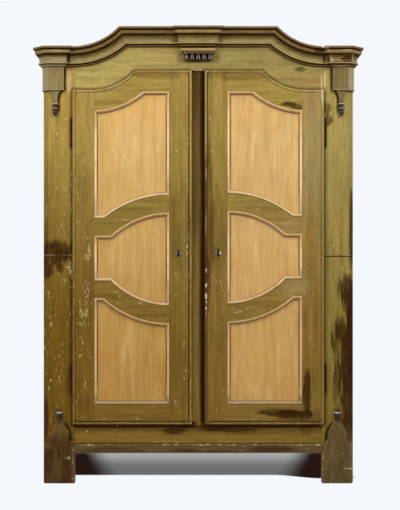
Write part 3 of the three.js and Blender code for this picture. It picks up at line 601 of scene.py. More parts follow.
# Tones up the crown's section, from its foot. The dark quirk bands and the darkening toward the top of the
# cavetto are dirt and painted shade under the members above.
CROWN_TONES = [
    (0.0, (52, 30, 4)), (0.025, (92, 68, 30)), (0.055, (130, 106, 58)), (0.085, (102, 78, 36)),
    (0.105, (50, 30, 2)), (0.128, (54, 34, 4)), (0.155, (148, 126, 80)), (0.20, (160, 138, 88)),
    (0.28, (154, 135, 88)), (0.42, (126, 110, 64)), (0.54, (88, 70, 30)), (0.59, (36, 18, 0)),
    (0.615, (52, 30, 2)), (0.66, (132, 108, 64)), (0.74, (152, 124, 76)), (0.82, (114, 88, 44)),
    (0.86, (72, 48, 10)), (0.892, (92, 70, 38)), (0.94, (80, 60, 36)), (0.975, (92, 70, 46)),
    (1.0, (156, 140, 112)),
]
# Where painted shade lies in the end blocks' inner corners, as [place across, half width]
CROWN_CORNER_SHADE = [(-0.597, 0.009), (0.581, 0.008)]


def crown_paint(name):
    """The crown: each member of its section has its own worn tone. Dirt and painted shade darken the
    quirks, painted shade the inner corners and the hollows, and the crests carry a painted highlight.
    """
    finish = Finish(name)
    stroke = finish.noise(70, (0.3, 1, 1), 5, 0.66, wander=0.3, shift=2)
    hair = finish.noise(300, (0.2, 1, 1), 2, 0.5, shift=4)
    cloud = finish.noise(11, (0.6, 1, 1), 4, 0.62, wander=0.6, shift=6)
    member = finish.attribute("member")
    finish.colour = finish.ramp(member, [(place, linear(*tone)) for place, tone in CROWN_TONES])
    finish.stain(GREENER, cloud.step(0.48, 0.70))
    finish.coat((104, 76, 38), cloud.step(0.46, 0.28) * 0.55)
    finish.darken(0.74 + 0.44 * stroke.step(0.28, 0.72) + 0.10 * hair)
    hollow = member.step(0.12, 0.20) * member.step(0.72, 0.60)
    front = finish.y.step(FRONT + 0.01, FRONT)
    for x, half in CROWN_CORNER_SHADE:
        corner = abs(finish.x - x).step(half, half * 0.45)
        finish.coat((34, 16, 0), corner * hollow * front * 0.88)
    across = abs(finish.x)
    swept = across.step(CAPITAL_INNER - 0.03, CAPITAL_INNER - 0.05)
    swept = swept * across.step(KEYSTONE_HALF + 0.03, KEYSTONE_HALF + 0.05)
    ovolo = member.step(0.61, 0.65) * member.step(0.88, 0.85)
    finish.stain((0.60, 0.55, 0.50, 1.0), swept * ovolo)
    left_end = finish.x.step(-0.60, -0.62) * member.step(0.5, 0.42)
    finish.coat((178, 158, 124), left_end * 0.55)
    smoky_and_shaded_patches(finish, CROWN_SPOTS, "x", 9)
    tatter = (finish.noise(190, EVEN, 2, 0.5, shift=12) - 0.5) * 2.4
    scuff(finish, CROWN_KNOCKS, tatter, facing=(FRONT + 0.03, FRONT))
    relief = finish.attribute("relief")
    # painted shade and dirt in the section's hollows, and a painted highlight on its crests
    finish.coat((26, 12, 0), relief.step(-0.0003, -0.0011) * 0.6)
    crest = relief.step(0.0004, 0.0013) * member.step(0.10, 0.16)
    finish.coat((184, 162, 118), crest * 0.22)
    return finish.finished(0.42 + 0.22 * stroke, stroke + hair * 0.2 + cloud * 0.3, 0.0009, 0.5)


# The panels' glaze: its tone near the top of the doors, and near their foot
OCHRE = {"left": ((213, 173, 107), (194, 150, 79)), "right": ((213, 173, 111), (208, 164, 97))}


def ochre_paint(name, side, shift):
    """The panels: a streaked yellow glaze, brushed up and down over a pale ground."""
    finish = Finish(name)
    streak = finish.noise(150, (1, 1, 0.06), 3, 0.55, wander=0.2, shift=shift)
    band = finish.noise(40, (1, 1, 0.09), 4, 0.6, wander=0.4, shift=shift + 2)
    cloud = finish.noise(11, (1, 1, 0.5), 5, 0.62, wander=0.6, shift=shift + 4)
    high, low = OCHRE[side]
    finish.colour = finish.mix(low, high, finish.z.step(0.45, 1.6))
    finish.stain((1.04, 1.06, 1.12, 1.0), cloud.step(0.5, 0.66))
    finish.stain((0.97, 0.93, 0.82, 1.0), cloud.step(0.5, 0.36))
    mixed = streak * 0.4 + band * 0.6
    finish.darken(0.86 + 0.20 * mixed.step(0.34, 0.66))
    finish.coat((176, 124, 58), mixed.step(0.46, 0.34) * 0.20)
    light = (cloud * 0.5 + mixed * 0.5).step(0.53, 0.66)
    finish.coat((246, 216, 160), light * 0.22)
    speck = finish.noise(75, (1, 1, 0.4), 2, 0.5, shift=shift + 9).step(0.74, 0.80)
    finish.coat((140, 92, 40), speck * 0.4)
    return finish.finished(0.42 + 0.16 * streak, mixed, 0.0007, 0.5)


def peach_paint(name):
    """The mouldings round the panels: pale peach on the curve, brown in the quirk, and painted shade on
    the runs that face down and on the lowest run.
    """
    finish = Finish(name)
    streak = finish.noise(90, (0.6, 1, 0.6), 4, 0.6, shift=1)
    cloud = finish.noise(16, EVEN, 4, 0.6, shift=5)
    member = finish.attribute("member")
    facing = finish.attribute("facing")
    pale = finish.mix((222, 184, 130), (242, 208, 158), finish.z.step(0.5, 1.2))
    # painted shade: runs that face down are darker
    pale = finish.mix(pale, (198, 160, 104), facing.step(-0.35, -0.95) * 0.8)
    pale = finish.mix(pale, (190, 150, 102), cloud.step(0.5, 0.3) * 0.6)
    # painted shade: the lowest run is darker, and the upward-facing runs above it are toned down
    low_run = finish.z.step(0.43, 0.39) * facing.step(0.5, 0.9)
    pale = finish.tint(pale, (0.54, 0.58, 0.62, 1.0), low_run)
    sill = finish.z.step(0.42, 0.46) * facing.step(0.4, 0.9)
    pale = finish.tint(pale, (0.68, 0.66, 0.62, 1.0), sill)
    finish.colour = finish.shade(pale, 0.82 + 0.34 * streak)
    finish.coat((98, 66, 30), member.step(0.12, 0.04) * 0.85)
    # the dark line in the quirk is dirt, weakened on upward-facing runs as painted light
    under = facing.step(-0.35, -0.95)
    inner = 0.70 + 0.12 * under
    quirk = member.step(inner, inner + 0.06) * (0.95 - 0.60 * facing.step(0.4, 0.95))
    quirk = quirk * (1.0 - 0.20 * member.step(0.90, 0.97))
    finish.coat((84, 44, 14), quirk)
    return finish.finished(0.40 + 0.2 * streak, streak + cloud * 0.4, 0.0006, 0.4)


def foot_finish(name):
    """The foot boards: scuffed brown-green paint, with pale knocks along the edges."""
    finish = Finish(name)
    streak = finish.noise(95, STROKES["z"], 5, 0.66, wander=0.3, shift=14)
    mottle = finish.noise(130, (1, 1, 0.5), 3, 0.6, wander=0.4, shift=17)
    cloud = finish.noise(16, CLOUDS["z"], 5, 0.65, wander=0.6, shift=15)
    right = finish.x.step(-0.6, 0.6)
    dark = finish.mix((70, 47, 21), (96, 78, 46), right)
    pale = finish.mix((100, 78, 40), (116, 99, 62), right)
    finish.colour = finish.mix(dark, pale, cloud.step(0.36, 0.64))
    finish.coat((94, 56, 30), streak.step(0.56, 0.68) * (0.5 - 0.3 * right))
    finish.coat((118, 96, 40), finish.z.step(0.19, 0.27) * (0.55 - 0.4 * right))
    finish.darken(0.62 + 0.42 * streak.step(0.28, 0.72) + 0.3 * mottle)
    inner = abs(finish.x).step(PLATE_X - PLATE_HALF + 0.013, PLATE_X - PLATE_HALF + 0.008)
    inner = inner * finish.z.step(PLATE_SHOULDER, PLATE_SHOULDER - 0.03)
    finish.coat((120, 84, 62), inner * 0.6)
    fleck = finish.noise(135, (1, 1, 0.6), 3, 0.55, wander=0.6, shift=16)
    relief = finish.attribute("relief")
    rim = relief.step(0.0001, 0.0008)
    worn = finish.spot(0.700, 0.075, 0.035, 0.014, 0.0) * 0.16
    worn = worn + finish.spot(-0.600, 0.120, 0.018, 0.008, 0.0) * 0.16
    chip = (fleck + rim * 0.14 + inner * 0.09 + worn).step(0.75, 0.79)
    finish.coat((206, 182, 136), chip * 0.75)
    return finish.finished(0.46 + 0.24 * streak, streak - chip * 0.5, 0.0009, 0.55)


def turned_finish(name, dark, crest, gloss=0.4):
    """Balls, drops and lobes: nearly black purple-brown polish, with a painted highlight on its crests
    and painted shade in its hollows.
    """
    finish = Finish(name, specular=gloss)
    cloud = finish.noise(90, EVEN, 3, 0.6, shift=21)
    relief = finish.attribute("relief")
    lighter = linear(*(tone * 1.5 for tone in dark))
    finish.colour = finish.mix(linear(*dark), lighter, cloud.step(0.42, 0.66))
    finish.coat(linear(*crest), relief.step(0.0004, 0.0020) * 0.85)
    finish.coat((16, 7, 4), relief.step(-0.0003, -0.0014) * 0.9)
    return finish.finished(0.22 + 0.2 * cloud, cloud, 0.0005, 0.4)


def bare_pine(name, grain, shift, tone=1.0, boards=0):
    """Unpainted old pine: growth rings drawn out along the board, fine fibres and dusty patches.
    A back of several boards has dirt in the joints, and each board its own tone."""
    finish = Finish(name)
    rings = finish.noise(16, GRAIN[grain], 2, 0.5, wander=1.4, shift=shift)
    wave = finish.node("ShaderNodeMath", {"operation": "SINE"}, {0: rings * 38.0})
    fibre = finish.noise(240, GRAIN[grain], 3, 0.6, shift=shift + 1)
    dust = finish.noise(5, EVEN, 3, 0.5, shift=shift + 2)
    finish.colour = finish.mix((176, 134, 84), (132, 92, 50), wave.step(-0.1, 0.95) * 0.7)
    finish.coat((120, 100, 76), dust.step(0.45, 0.7) * 0.5)
    finish.darken((0.80 + 0.36 * fibre) * tone)
    if boards:
        width = (back_high.x - back_low.x) / boards
        place = (finish.x - back_low.x) / width
        number = finish.node("ShaderNodeMath", {"operation": "FLOOR"}, {0: place})
        own = finish.node("ShaderNodeTexWhiteNoise", {"noise_dimensions": "1D"}, {"W": number + 0.5})
        finish.darken(0.84 + 0.30 * own)
        joint = 0.5 - abs(place - number - 0.5)
        finish.coat((34, 22, 12), (joint * width).step(0.0045, 0.0015) * 0.9)
    return finish.finished(0.62 + 0.2 * fibre, fibre + wave * 0.2, 0.0007, 0.5)


def plate_iron(name):
    """The keyhole plates: black at their points, and bright on both sides of the keyhole: rubbed metal,
    with a painted glint that is strongest on the outer side of the right-hand plate.
    """
    finish = Finish(name, specular=0.3)
    cloud = finish.noise(160, EVEN, 3, 0.6, shift=37)
    across = abs(finish.x) - KEY_X
    up = abs(finish.z - KEY_Z)
    side = abs(across).step(0.004, 0.007) * abs(across).step(0.017, 0.012)
    level = up.step(0.011, 0.005)
    right = finish.x.step(-0.02, 0.02)
    glint = side * level * (0.35 + 0.65 * right * across.step(0.0, 0.006))
    finish.colour = finish.mix((34, 24, 20), (84, 72, 68), cloud.step(0.4, 0.65))
    finish.coat((214, 200, 190), glint * 0.85)
    finish.set("Metallic", 0.35)
    return finish.finished(0.36 + 0.3 * cloud, cloud, 0.0004, 0.5)


def forged_iron(name, worn, rusted=0.0, shine=1.0):
    """Dark iron with rubbed grey places and brown rust."""
    finish = Finish(name, specular=0.5 * shine)
    cloud = finish.noise(120, EVEN, 4, 0.65, shift=31)
    rust = finish.noise(34, EVEN, 4, 0.6, shift=33)
    relief = finish.attribute("relief")
    rusty = rust.step(0.46 - rusted, 0.62 - rusted)
    finish.colour = finish.mix((40, 28, 20), (118, 108, 106), cloud.step(0.45, 0.75) * worn)
    finish.coat((62, 34, 16), rusty * 0.7)
    finish.coat((168, 158, 160), relief.step(0.0001, 0.0006) * worn)
    finish.set("Metallic", (0.75 - 0.7 * rusty) * shine)
    return finish.finished(0.36 + 0.3 * cloud, cloud, 0.0005, 0.5)


# Shapes


def arc(x, z, radius, start, end, steps):
    """A round stretch in the front view: the centre plus the radius turned from angle to angle."""
    angle = np.linspace(start, end, steps + 1)
    return np.stack([x + radius * np.cos(angle), z + radius * np.sin(angle)], axis=1)


def softened(corners, radius, steps):
    """A line whose inner corners are eased. Each corner c gives way to the curve
    (1-t)^2 a + 2t(1-t) c + t^2 b between points a and b, a radius away on its two sides."""
    corners = np.asarray(corners, float)
    middle = corners[1:-1]
    reach = np.broadcast_to(np.asarray(radius, float), len(middle))[:, None]

    def near(other):
        way = other - middle
        length = np.linalg.norm(way, axis=1, keepdims=True)
        return middle + way / length * np.minimum(reach, length / 2.1)

    t = np.linspace(0, 1, steps + 1)[None, :, None]
    first, last = near(corners[:-2])[:, None], near(corners[2:])[:, None]
    curve = (1 - t) ** 2 * first + 2 * t * (1 - t) * middle[:, None] + t**2 * last
    return np.concatenate([corners[:1], curve.reshape(-1, 2), corners[-1:]])


def standing_out(section, span):
    """How far each point of a section stands in front of the section's own average round it, where
    nearer points weigh more: w = exp(-(s - s')^2 / 2 span^2). Crests are above 0, hollows below."""
    steps = np.linalg.norm(np.diff(section, axis=0), axis=1)
    place = np.concatenate([[0], np.cumsum(steps)])
    size = np.gradient(place)
    weight = np.exp(-((place[:, None] - place[None]) ** 2) / (2 * span**2)) * size[None]
    average = weight @ section / weight.sum(axis=1, keepdims=True)
    way = np.gradient(section, axis=0)
    normal = np.stack([way[:, 1], -way[:, 0]], axis=1)
    normal /= np.maximum(np.linalg.norm(normal, axis=1, keepdims=True), 1e-9)
    return ((section - average) * normal).sum(axis=1)


def mitres(loop):
    """The way in from each corner of an anticlockwise loop that draws both its sides in by one:
    (l + b) / (1 + l . b), where l and b are the inward normals of the sides after and before it."""
    way = np.roll(loop, -1, axis=0) - loop
    way /= np.linalg.norm(way, axis=1, keepdims=True)
    left = np.stack([-way[:, 1], way[:, 0]], axis=1)
    before = np.roll(left, 1, axis=0)
    return (left + before) / (1 + (left * before).sum(axis=1, keepdims=True))


def carried(section, origin, out_way, up_way):
    """A section carried along stations: origin + out * out_way + up * up_way at each of them."""
    out, up = section[None, :, 0, None], section[None, :, 1, None]
    return origin[:, None] + out * out_way[:, None] + up * up_way[:, None]


def turned(profile, x, y, sides=TURN_SIDES):
    """A profile of [radius, height] turned round an upright axis: (x + r cos a, y + r sin a, h)."""
    angle = np.linspace(0, 2 * np.pi, sides, endpoint=False)
    round_way = np.stack([np.cos(angle), np.sin(angle), 0 * angle], axis=1)
    upright = np.tile([0.0, 0.0, 1.0], (sides, 1))
    origin = np.tile([x, y, 0.0], (sides, 1))
    return carried(np.asarray(profile), origin, round_way, upright)


def layered(loop, layers):
    """A loop in the front view, drawn in by each layer's first value, at the depth of its second."""
    layers = np.asarray(layers)
    ring = loop[None] + mitres(loop)[None] * layers[:, 0, None, None]
    depth = np.broadcast_to(layers[:, 1, None], ring.shape[:2])
    return np.stack([ring[..., 0], depth, ring[..., 1]], axis=-1)


def mirrored(grid):
    """The same grid on the other side of the middle: (-x, y, z)."""
    return grid * np.array([-1.0, 1.0, 1.0])


def sided(side, grid):
    """A grid drawn for the right, on the side that is asked for."""
    return mirrored(grid) if SIDES[side] < 0 else grid


def skin(name, grid, wrap_rows=False, wrap_columns=False, capped=False, **marks):
    """A mesh over a grid of points: each four neighbours make a face, a grid that wraps closes on
    itself, and capped rows end in a flat face. Marks are values kept at the points by name."""
    rows, columns = grid.shape[:2]
    index = np.arange(rows * columns).reshape(rows, columns)
    ring = index
    if wrap_rows:
        index = np.vstack([index, index[:1]])
    if wrap_columns:
        index = np.hstack([index, index[:, :1]])
    corners = [index[:-1, :-1], index[1:, :-1], index[1:, 1:], index[:-1, 1:]]
    faces = np.stack(corners, axis=-1).reshape(-1, 4).tolist()
    if capped:
        faces += [ring[0].tolist(), ring[-1][::-1].tolist()]
    mesh = bpy.data.meshes.new(name)
    mesh.from_pydata(grid.reshape(-1, 3), [], faces)
    for mark, values in marks.items():
        layer = mesh.attributes.new(mark, "FLOAT", "POINT")
        spread = np.broadcast_to(values, (rows, columns)).astype(np.float32)
        layer.data.foreach_set("value", spread.ravel())
    work = bmesh.new()
    work.from_mesh(mesh)
    bmesh.ops.remove_doubles(work, verts=work.verts, dist=WELD)
    if work.calc_volume(signed=True) < 0:
        bmesh.ops.reverse_faces(work, faces=work.faces)
    work.to_mesh(mesh)
    work.free()
    mesh.shade_smooth()
    mesh.set_sharp_from_angle(angle=SMOOTH_ANGLE)
    return mesh


def placed(name, data):
    """A new object of the scene that shows a mesh, a lamp or the camera."""
    item = bpy.data.objects.new(name, data)
    bpy.context.scene.collection.objects.link(item)
    return item


def piece(name, grid, body, finish, slot, replaces=(), **shape):
    """Puts a skinned grid in the scene, on the body that it moves with."""
    mesh = skin(name, grid, **shape)
    mesh.materials.append(finish)
    item = placed(name, mesh)
    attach(item, body)
    if replaces:
        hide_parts(*replaces)


# Crown


def crown_section():
    """Bead, fillet, cavetto, ovolo and top fillet, as [out, up] from the foot, and back inside."""
    shares = [
        (0.006, 0.0), (0.11, 0.0), (0.19, 0.03), (0.205, 0.065), (0.19, 0.10), (0.12, 0.128),
        (0.07, 0.135), (0.42, 0.142), (0.45, 0.15), (0.45, 0.185), (0.42, 0.2), (0.325, 0.21),
        (0.315, 0.29), (0.35, 0.40), (0.44, 0.51), (0.60, 0.605),
        (0.52, 0.612), (0.68, 0.622), (0.77, 0.66), (0.79, 0.72), (0.77, 0.79), (0.70, 0.845),
        (0.60, 0.865), (0.62, 0.88), (0.95, 0.884), (1.0, 0.90), (1.0, 0.965), (0.97, 1.0), (0.006, 1.0),
    ]
    return softened(np.array(shares) * [CROWN_OUT, CROWN_HEIGHT], 0.0022, 4)


def crown_rows(section):
    """The right half of the crown. At a mitre each point of the section stands at
    (x + out across, y + out deep, foot + up), and round the cove at an angle a and the radius r - up."""
    out, up = section[:, 0], section[:, 1]
    centre_z = CROWN_FOOT + CROWN_RADIUS
    canted = np.sqrt(2) - 1

    def flat(x, y, across, deep, foot):
        return np.stack([x + out * across, y + out * deep, foot + up], axis=1)

    def cove(angle):
        radius = (CROWN_RADIUS - up)[None]
        x = CROWN_COVE_X - radius * np.sin(angle)[:, None]
        z = centre_z - radius * np.cos(angle)[:, None]
        return np.stack([x, np.broadcast_to(FRONT - out, x.shape), z], axis=-1)

    height = CROWN_CENTRE + up
    reach = np.sqrt((CROWN_RADIUS - up) ** 2 - (centre_z - height) ** 2)
    kink = np.stack([CROWN_COVE_X - reach, FRONT - out, height], axis=1)
    full = np.arccos((centre_z - CROWN_CENTRE) / CROWN_RADIUS)
    bends = cove(np.linspace(full, 0, COVE_STEPS + 1)[1:])
    corners = [
        flat(KEYSTONE_HALF, CAPITAL_FRONT, 1, -1, CROWN_CENTRE),
        flat(KEYSTONE_HALF, FRONT, 1, -1, CROWN_CENTRE),
        kink,
    ]
    ends = [
        flat(CAPITAL_INNER, FRONT, -1, -1, CROWN_FOOT),
        flat(CAPITAL_INNER, CAPITAL_FRONT, -1, -1, CROWN_FOOT),
        flat(CAPITAL_OUTER - CAPITAL_CANT, CAPITAL_FRONT, canted, -1, CROWN_FOOT),
        flat(CAPITAL_OUTER, CAPITAL_FRONT + CAPITAL_CANT, 1, -canted, CROWN_FOOT),
        flat(CAPITAL_OUTER, CAPITAL_BACK, 1, 1, CROWN_FOOT),
        flat(CASE_HALF, CAPITAL_BACK, 1, 1, CROWN_FOOT),
        flat(CASE_HALF, BACK, 1, 0, CROWN_FOOT),
    ]
    return np.concatenate([np.stack(corners), bends, np.stack(ends)])


def build_crown(finish):
    """The crown moulding: its section carried along the front and round both ends."""
    section = crown_section()
    right = crown_rows(section)
    grid = np.concatenate([mirrored(right)[::-1], right])
    piece(
        "crown_moulding", grid, "carcass", finish, "paint_olive", ["crown"], wrap_columns=True, capped=True,
        relief=standing_out(section, 0.0035)[None], member=section[None, :, 1] / CROWN_HEIGHT,
    )


def boxed(name, low, high, ease, body, finish, slot, relief=0.0):
    """A block with eased arrises: its front view is a softened loop, drawn in near both faces by
    e (1 - sin t) at the depth e (1 - cos t)."""
    (x0, y0, z0), (x1, y1, z1) = low, high
    square = np.array([(x0, z0), (x1, z0), (x1, z1), (x0, z1)])
    middle = (square[:1] + square[1:2]) / 2
    line = softened(np.concatenate([middle, square[1:], square[:1], middle]), ease, 3)
    turn = np.linspace(0, np.pi / 2, 4)
    drawn = ease * (1 - np.sin(turn))
    deep = ease * (1 - np.cos(turn))
    front = np.stack([drawn, y0 + deep], axis=1)
    back = np.stack([drawn, y1 - deep], axis=1)[::-1]
    layers = np.concatenate([front, back])
    height = relief + np.where(np.abs(layers[:, 0] - ease / 2) < ease / 3, 0.0008, 0.0)
    grid = layered(line[:-1], layers)
    piece(name, grid, body, finish, slot, wrap_columns=True, capped=True, relief=height[:, None])


def add_lobe(name, x, foot, top, half, face, finish):
    """A lobe like a shallow spoon: an arch in the front view, raised at its rim and hollow inside."""
    radius = half - LOBE_TAPER
    edge = arc(x, top - radius, radius, 0, np.pi, 14)
    loop = np.concatenate([[(x + half, foot)], edge, [(x - half, foot)]])
    layers = [
        (0.0, FRONT - SEAT), (0.0, face + 0.0022), (0.0006, face + 0.0008), (0.0018, face),
        (0.0032, face + 0.0006), (0.0050, face + 0.0022), (0.0066, face + 0.0028),
    ]
    # relief marks: the raised rim takes a painted highlight, the back rows painted shade
    height = np.array([-0.0014, -0.0006, 0.0008, 0.0017, 0.0012, 0.0005, 0.0006])
    rim = np.ones(len(loop))
    rim[[0, -1]] = 0.4
    relief = height[:, None] * rim[None]
    grid = layered(loop, layers)
    piece(name, grid, "carcass", finish, "paint_olive", wrap_columns=True, capped=True, relief=relief)


def build_keystone(paint, bead_paint, dark, recess):
    """The keystone: eased blocks under the crown's middle, a recess in painted shade, and a row of lobes.
    """
    half, step = KEYSTONE_HALF, KEYSTONE_STEP
    foot = CROWN_CENTRE - KEYSTONE_DROP
    band_top = CROWN_CENTRE - KEYSTONE_LEAD
    band_foot = band_top - KEYSTONE_BAND
    bead_top = band_foot - step
    bead_foot = bead_top - KEYSTONE_BEAD
    face = CAPITAL_FRONT - step
    back = FRONT - SEAT
    blocks = {
        "ground": ((half - step, face + LOBE_DEPTH, foot + step), band_foot, 0.0055),
        "neck": ((half - step, face, band_foot - step), CROWN_CENTRE + step, 0.0008),
        "band": ((half + 2 * step, face - step, band_foot), band_top, 0.0016),
        "bead": ((half + step, face - step, bead_foot), bead_top, 0.0034),
    }
    finishes = {"neck": recess, "bead": bead_paint}
    for name, ((wide, front, low), high, ease) in blocks.items():
        corners = (-wide, front, low), (wide, back, high)
        finish = finishes.get(name, paint)
        boxed(f"keystone_{name}", *corners, ease, "carcass", finish, "paint_olive")
    top = bead_foot - step / 2
    row = LOBE_ROW / 2
    recess_face = face + LOBE_DEPTH
    corners = (-row, recess_face - 0.0012, foot + step), (row, recess_face + 0.001, bead_foot + 0.001)
    boxed("keystone_recess", *corners, 0.0006, "carcass", recess, "paint_olive", relief=-0.002)
    width = (LOBE_ROW - LOBE_GAP * (LOBES - 1)) / LOBES
    for number in range(LOBES):
        x = (number - (LOBES - 1) / 2) * (width + LOBE_GAP)
        add_lobe(f"keystone_lobe_{number + 1}", x, foot, top, width / 2, face, dark)


# Capitals, brackets and pendants


def capital_rows(grow, height):
    """The capital's plan, grown at its front, at each height: plan + grow * way."""
    canted = np.sqrt(2) - 1
    cant_x = CAPITAL_OUTER - CAPITAL_CANT
    inside = SEAT * canted
    plan = np.array([
        (CAPITAL_INNER, FRONT - SEAT),
        (CAPITAL_INNER, CAPITAL_FRONT),
        (cant_x, CAPITAL_FRONT),
        (CAPITAL_OUTER, CAPITAL_FRONT + CAPITAL_CANT),
        (CAPITAL_OUTER, CAPITAL_BACK),
        (CASE_HALF + SEAT, CAPITAL_BACK),
        (CASE_HALF + SEAT, FRONT + POST_CANT - inside),
        (CASE_HALF - POST_CANT + inside, FRONT - SEAT),
    ])
    way = np.array([(-1, 0), (-1, -1), (canted, -1), (1, -canted), (1, 0), (0, 0), (0, 0), (0, 0)])
    points = plan[None] + way[None] * grow[:, None, None]
    return np.concatenate([points, np.broadcast_to(height[:, None, None], (*points.shape[:2], 1))], axis=-1)


def bracket_outline():
    """The hollow bracket: a quarter round drawn in from the fillet to the neck, on both sides. At the
    angle t it is reach (1 - sin t) wider than the neck, and 3/4 height (1 - cos t) under the fillet."""
    turn = np.linspace(0, np.pi / 2, 18)
    reach = BRACKET_HALF - BRACKET_NECK
    out = BRACKET_NECK + reach * (1 - np.sin(turn))
    up = CAPITAL_FOOT - BRACKET_HEIGHT * 0.75 * (1 - np.cos(turn))
    neck = CAPITAL_FOOT - BRACKET_HEIGHT
    top = CAPITAL_FOOT + CAPITAL_FILLET / 2
    right = np.concatenate([
        [(BRACKET_HALF, top)], np.stack([out, up], axis=1), [(BRACKET_NECK, neck)],
    ])
    left = right[::-1] * [-1, 1]
    return np.concatenate([right[::-1], left[::-1]]) + [PENDANT_X, 0]


def drop_profile():
    """The pendant: ring, neck, bead, groove and a pointed tip, from the top down to its end."""
    shares = np.array([
        (0.0, 1.0), (0.7, 1.0), (0.92, 0.985), (0.97, 0.95), (0.92, 0.905), (0.66, 0.88), (0.55, 0.83),
        (0.53, 0.76), (0.62, 0.715), (0.88, 0.68), (1.0, 0.6), (0.9, 0.51), (0.62, 0.455), (0.52, 0.43),
        (0.6, 0.405), (0.78, 0.36), (0.76, 0.26), (0.58, 0.14), (0.3, 0.045), (0.0, 0.0),
    ])
    return softened(shares * [DROP_RADIUS, DROP_LENGTH], 0.0018, 3)


def clipped_behind(grid, y):
    """Points that would sink into the board behind are drawn forward to its face."""
    held = grid.copy()
    held[..., 1] = np.minimum(held[..., 1], y)
    return held


def build_capital(side, paint, dark):
    """A capital: its plan carried up past a rolled fillet, with the bracket and the drop below it."""
    turn = np.linspace(-np.pi / 2, np.pi / 2, 9)
    roll = CAPITAL_FILLET / 2
    grow = np.concatenate([[0.0], CAPITAL_ROLL * np.cos(turn), [0.0, 0.0, 0.0]])
    above = [CAPITAL_FILLET + 0.0006, CAPITAL_FILLET + 0.004, CASE_TOP - CAPITAL_FOOT]
    height = CAPITAL_FOOT + np.concatenate([[0.0], roll + roll * np.sin(turn), above])
    # relief marks: the rolled fillet takes a painted highlight, and the rows under and above it painted
    # shade
    relief = np.concatenate([[-0.002], 0.0010 * np.cos(turn), [-0.0008, 0.0, 0.0]])
    piece(
        f"capital_block_{side}", sided(side, capital_rows(grow, height)), "carcass", paint, "paint_olive",
        [f"capital_{side}"], wrap_columns=True, capped=True, relief=relief[:, None],
    )
    ease = BRACKET_EASE
    face = CAPITAL_FRONT + BRACKET_SET_BACK
    layers = [
        (0, FRONT - SEAT), (0, FRONT - SEAT - 0.003), (0, face + ease),
        (ease * 0.3, face + ease * 0.3), (ease, face),
    ]
    # relief marks: the back rows paint the bracket's sides dark as shade, and its eased arris paler
    relief = np.array([-0.002, -0.001, 0.0, 0.0008, 0.0])[:, None]
    piece(
        f"capital_bracket_{side}", sided(side, layered(bracket_outline(), layers)), "carcass", paint,
        "paint_olive", wrap_columns=True, capped=True, relief=relief,
    )
    profile = drop_profile() + [0, CAPITAL_FOOT - BRACKET_HEIGHT - DROP_LENGTH + DROP_SUNK]
    grid = clipped_behind(turned(profile, PENDANT_X, FRONT - DROP_RADIUS / 2), FRONT - SEAT)
    # the drop's relief: its crests take a painted highlight and its grooves painted shade
    piece(
        f"pendant_drop_{side}", sided(side, grid), "carcass", dark, "paint_olive", wrap_rows=True,
        relief=standing_out(profile[::-1], 0.004)[::-1][None],
    )


# Foot boards and balls


def foot_outline():
    """The foot board: straight up to the plinth, drawn in there, then a bell up to its narrow top.
    Its outer corner on the floor is worn round."""
    bell = softened(np.array(PLATE_SHARES), 0.055, 3)
    x = PLATE_TOP_HALF + bell[:, 0] * (PLATE_HALF - PLATE_TOP_HALF)
    z = PLATE_SHOULDER + bell[:, 1] * (PLATE_TOP - PLATE_SHOULDER)
    side = np.stack([x, z], axis=1)
    worn = PLATE_WORN
    corner = arc(PLATE_HALF - worn, worn, worn, -np.pi / 2, 0, 6)
    left = side[::-1] * [-1, 1]
    return np.concatenate([corner, side, left, [(-PLATE_HALF, 0.0)]]) + [PLATE_X, 0]


def ball_profile():
    """A ball on a short neck, from the neck's foot up: radius r sin a at height c - r cos a."""
    low = np.arcsin(BALL_NECK_HALF / BALL_RADIUS)
    angle = np.linspace(low, np.pi, 22)
    centre = PLATE_TOP + BALL_NECK + BALL_RADIUS
    round_part = np.stack([BALL_RADIUS * np.sin(angle), centre - BALL_RADIUS * np.cos(angle)], axis=1)
    round_part[-1, 0] = 0
    shares = np.array([(0, -0.25), (1.15, -0.25), (1.2, 0.06), (1.0, 0.14), (0.86, 0.4), (0.9, 0.75)])
    neck = shares * [BALL_NECK_HALF, BALL_NECK] + [0, PLATE_TOP]
    return np.concatenate([neck, round_part])


def build_foot(side, paint, dark):
    """A foot board, its outline drawn in at the face, and the turned ball on its top."""
    face = FRONT - PLATE_THICKNESS
    ease = PLATE_EASE
    layers = [(0, FRONT - SEAT), (0, face + ease), (ease * 0.3, face + ease * 0.3), (ease, face)]
    grid = layered(foot_outline(), layers)
    grid[..., 2] = np.maximum(grid[..., 2], 0.0)
    relief = np.array([0.0, 0.0006, 0.0012, 0.0004])[:, None]
    piece(
        f"foot_board_{side}", sided(side, grid), "carcass", paint, "foot_paint", [f"foot_plate_{side}"],
        wrap_columns=True, capped=True, relief=relief,
    )
    grid = clipped_behind(turned(ball_profile(), PLATE_X, FRONT - PLATE_THICKNESS / 2), FRONT - SEAT)
    height = (grid[..., 2] - PLATE_TOP - BALL_NECK) / (2 * BALL_RADIUS)
    # a band round the ball's upper half takes a painted highlight; elsewhere it is painted a little darker
    # as shade
    relief = 0.0028 * np.exp(-(((height - 0.64) / 0.13) ** 2)) - 0.0006
    ball = sided(side, grid)
    piece(f"foot_ball_{side}", ball, "carcass", dark, "foot_paint", wrap_rows=True, relief=relief)


# Panel mouldings


def cove_line(radius, high, end):
    """The swan-necked line of a door at one radius: from its kink at the high level to its end."""
    centre_z = DOOR_LOW + COVE_RADIUS
    kink = np.arccos((centre_z - high) / radius)
    last = np.arcsin((COVE_X - end) / radius)
    down = -np.pi / 2
    return arc(COVE_X, centre_z, radius, down - kink, down - last, RAIL_STEPS)


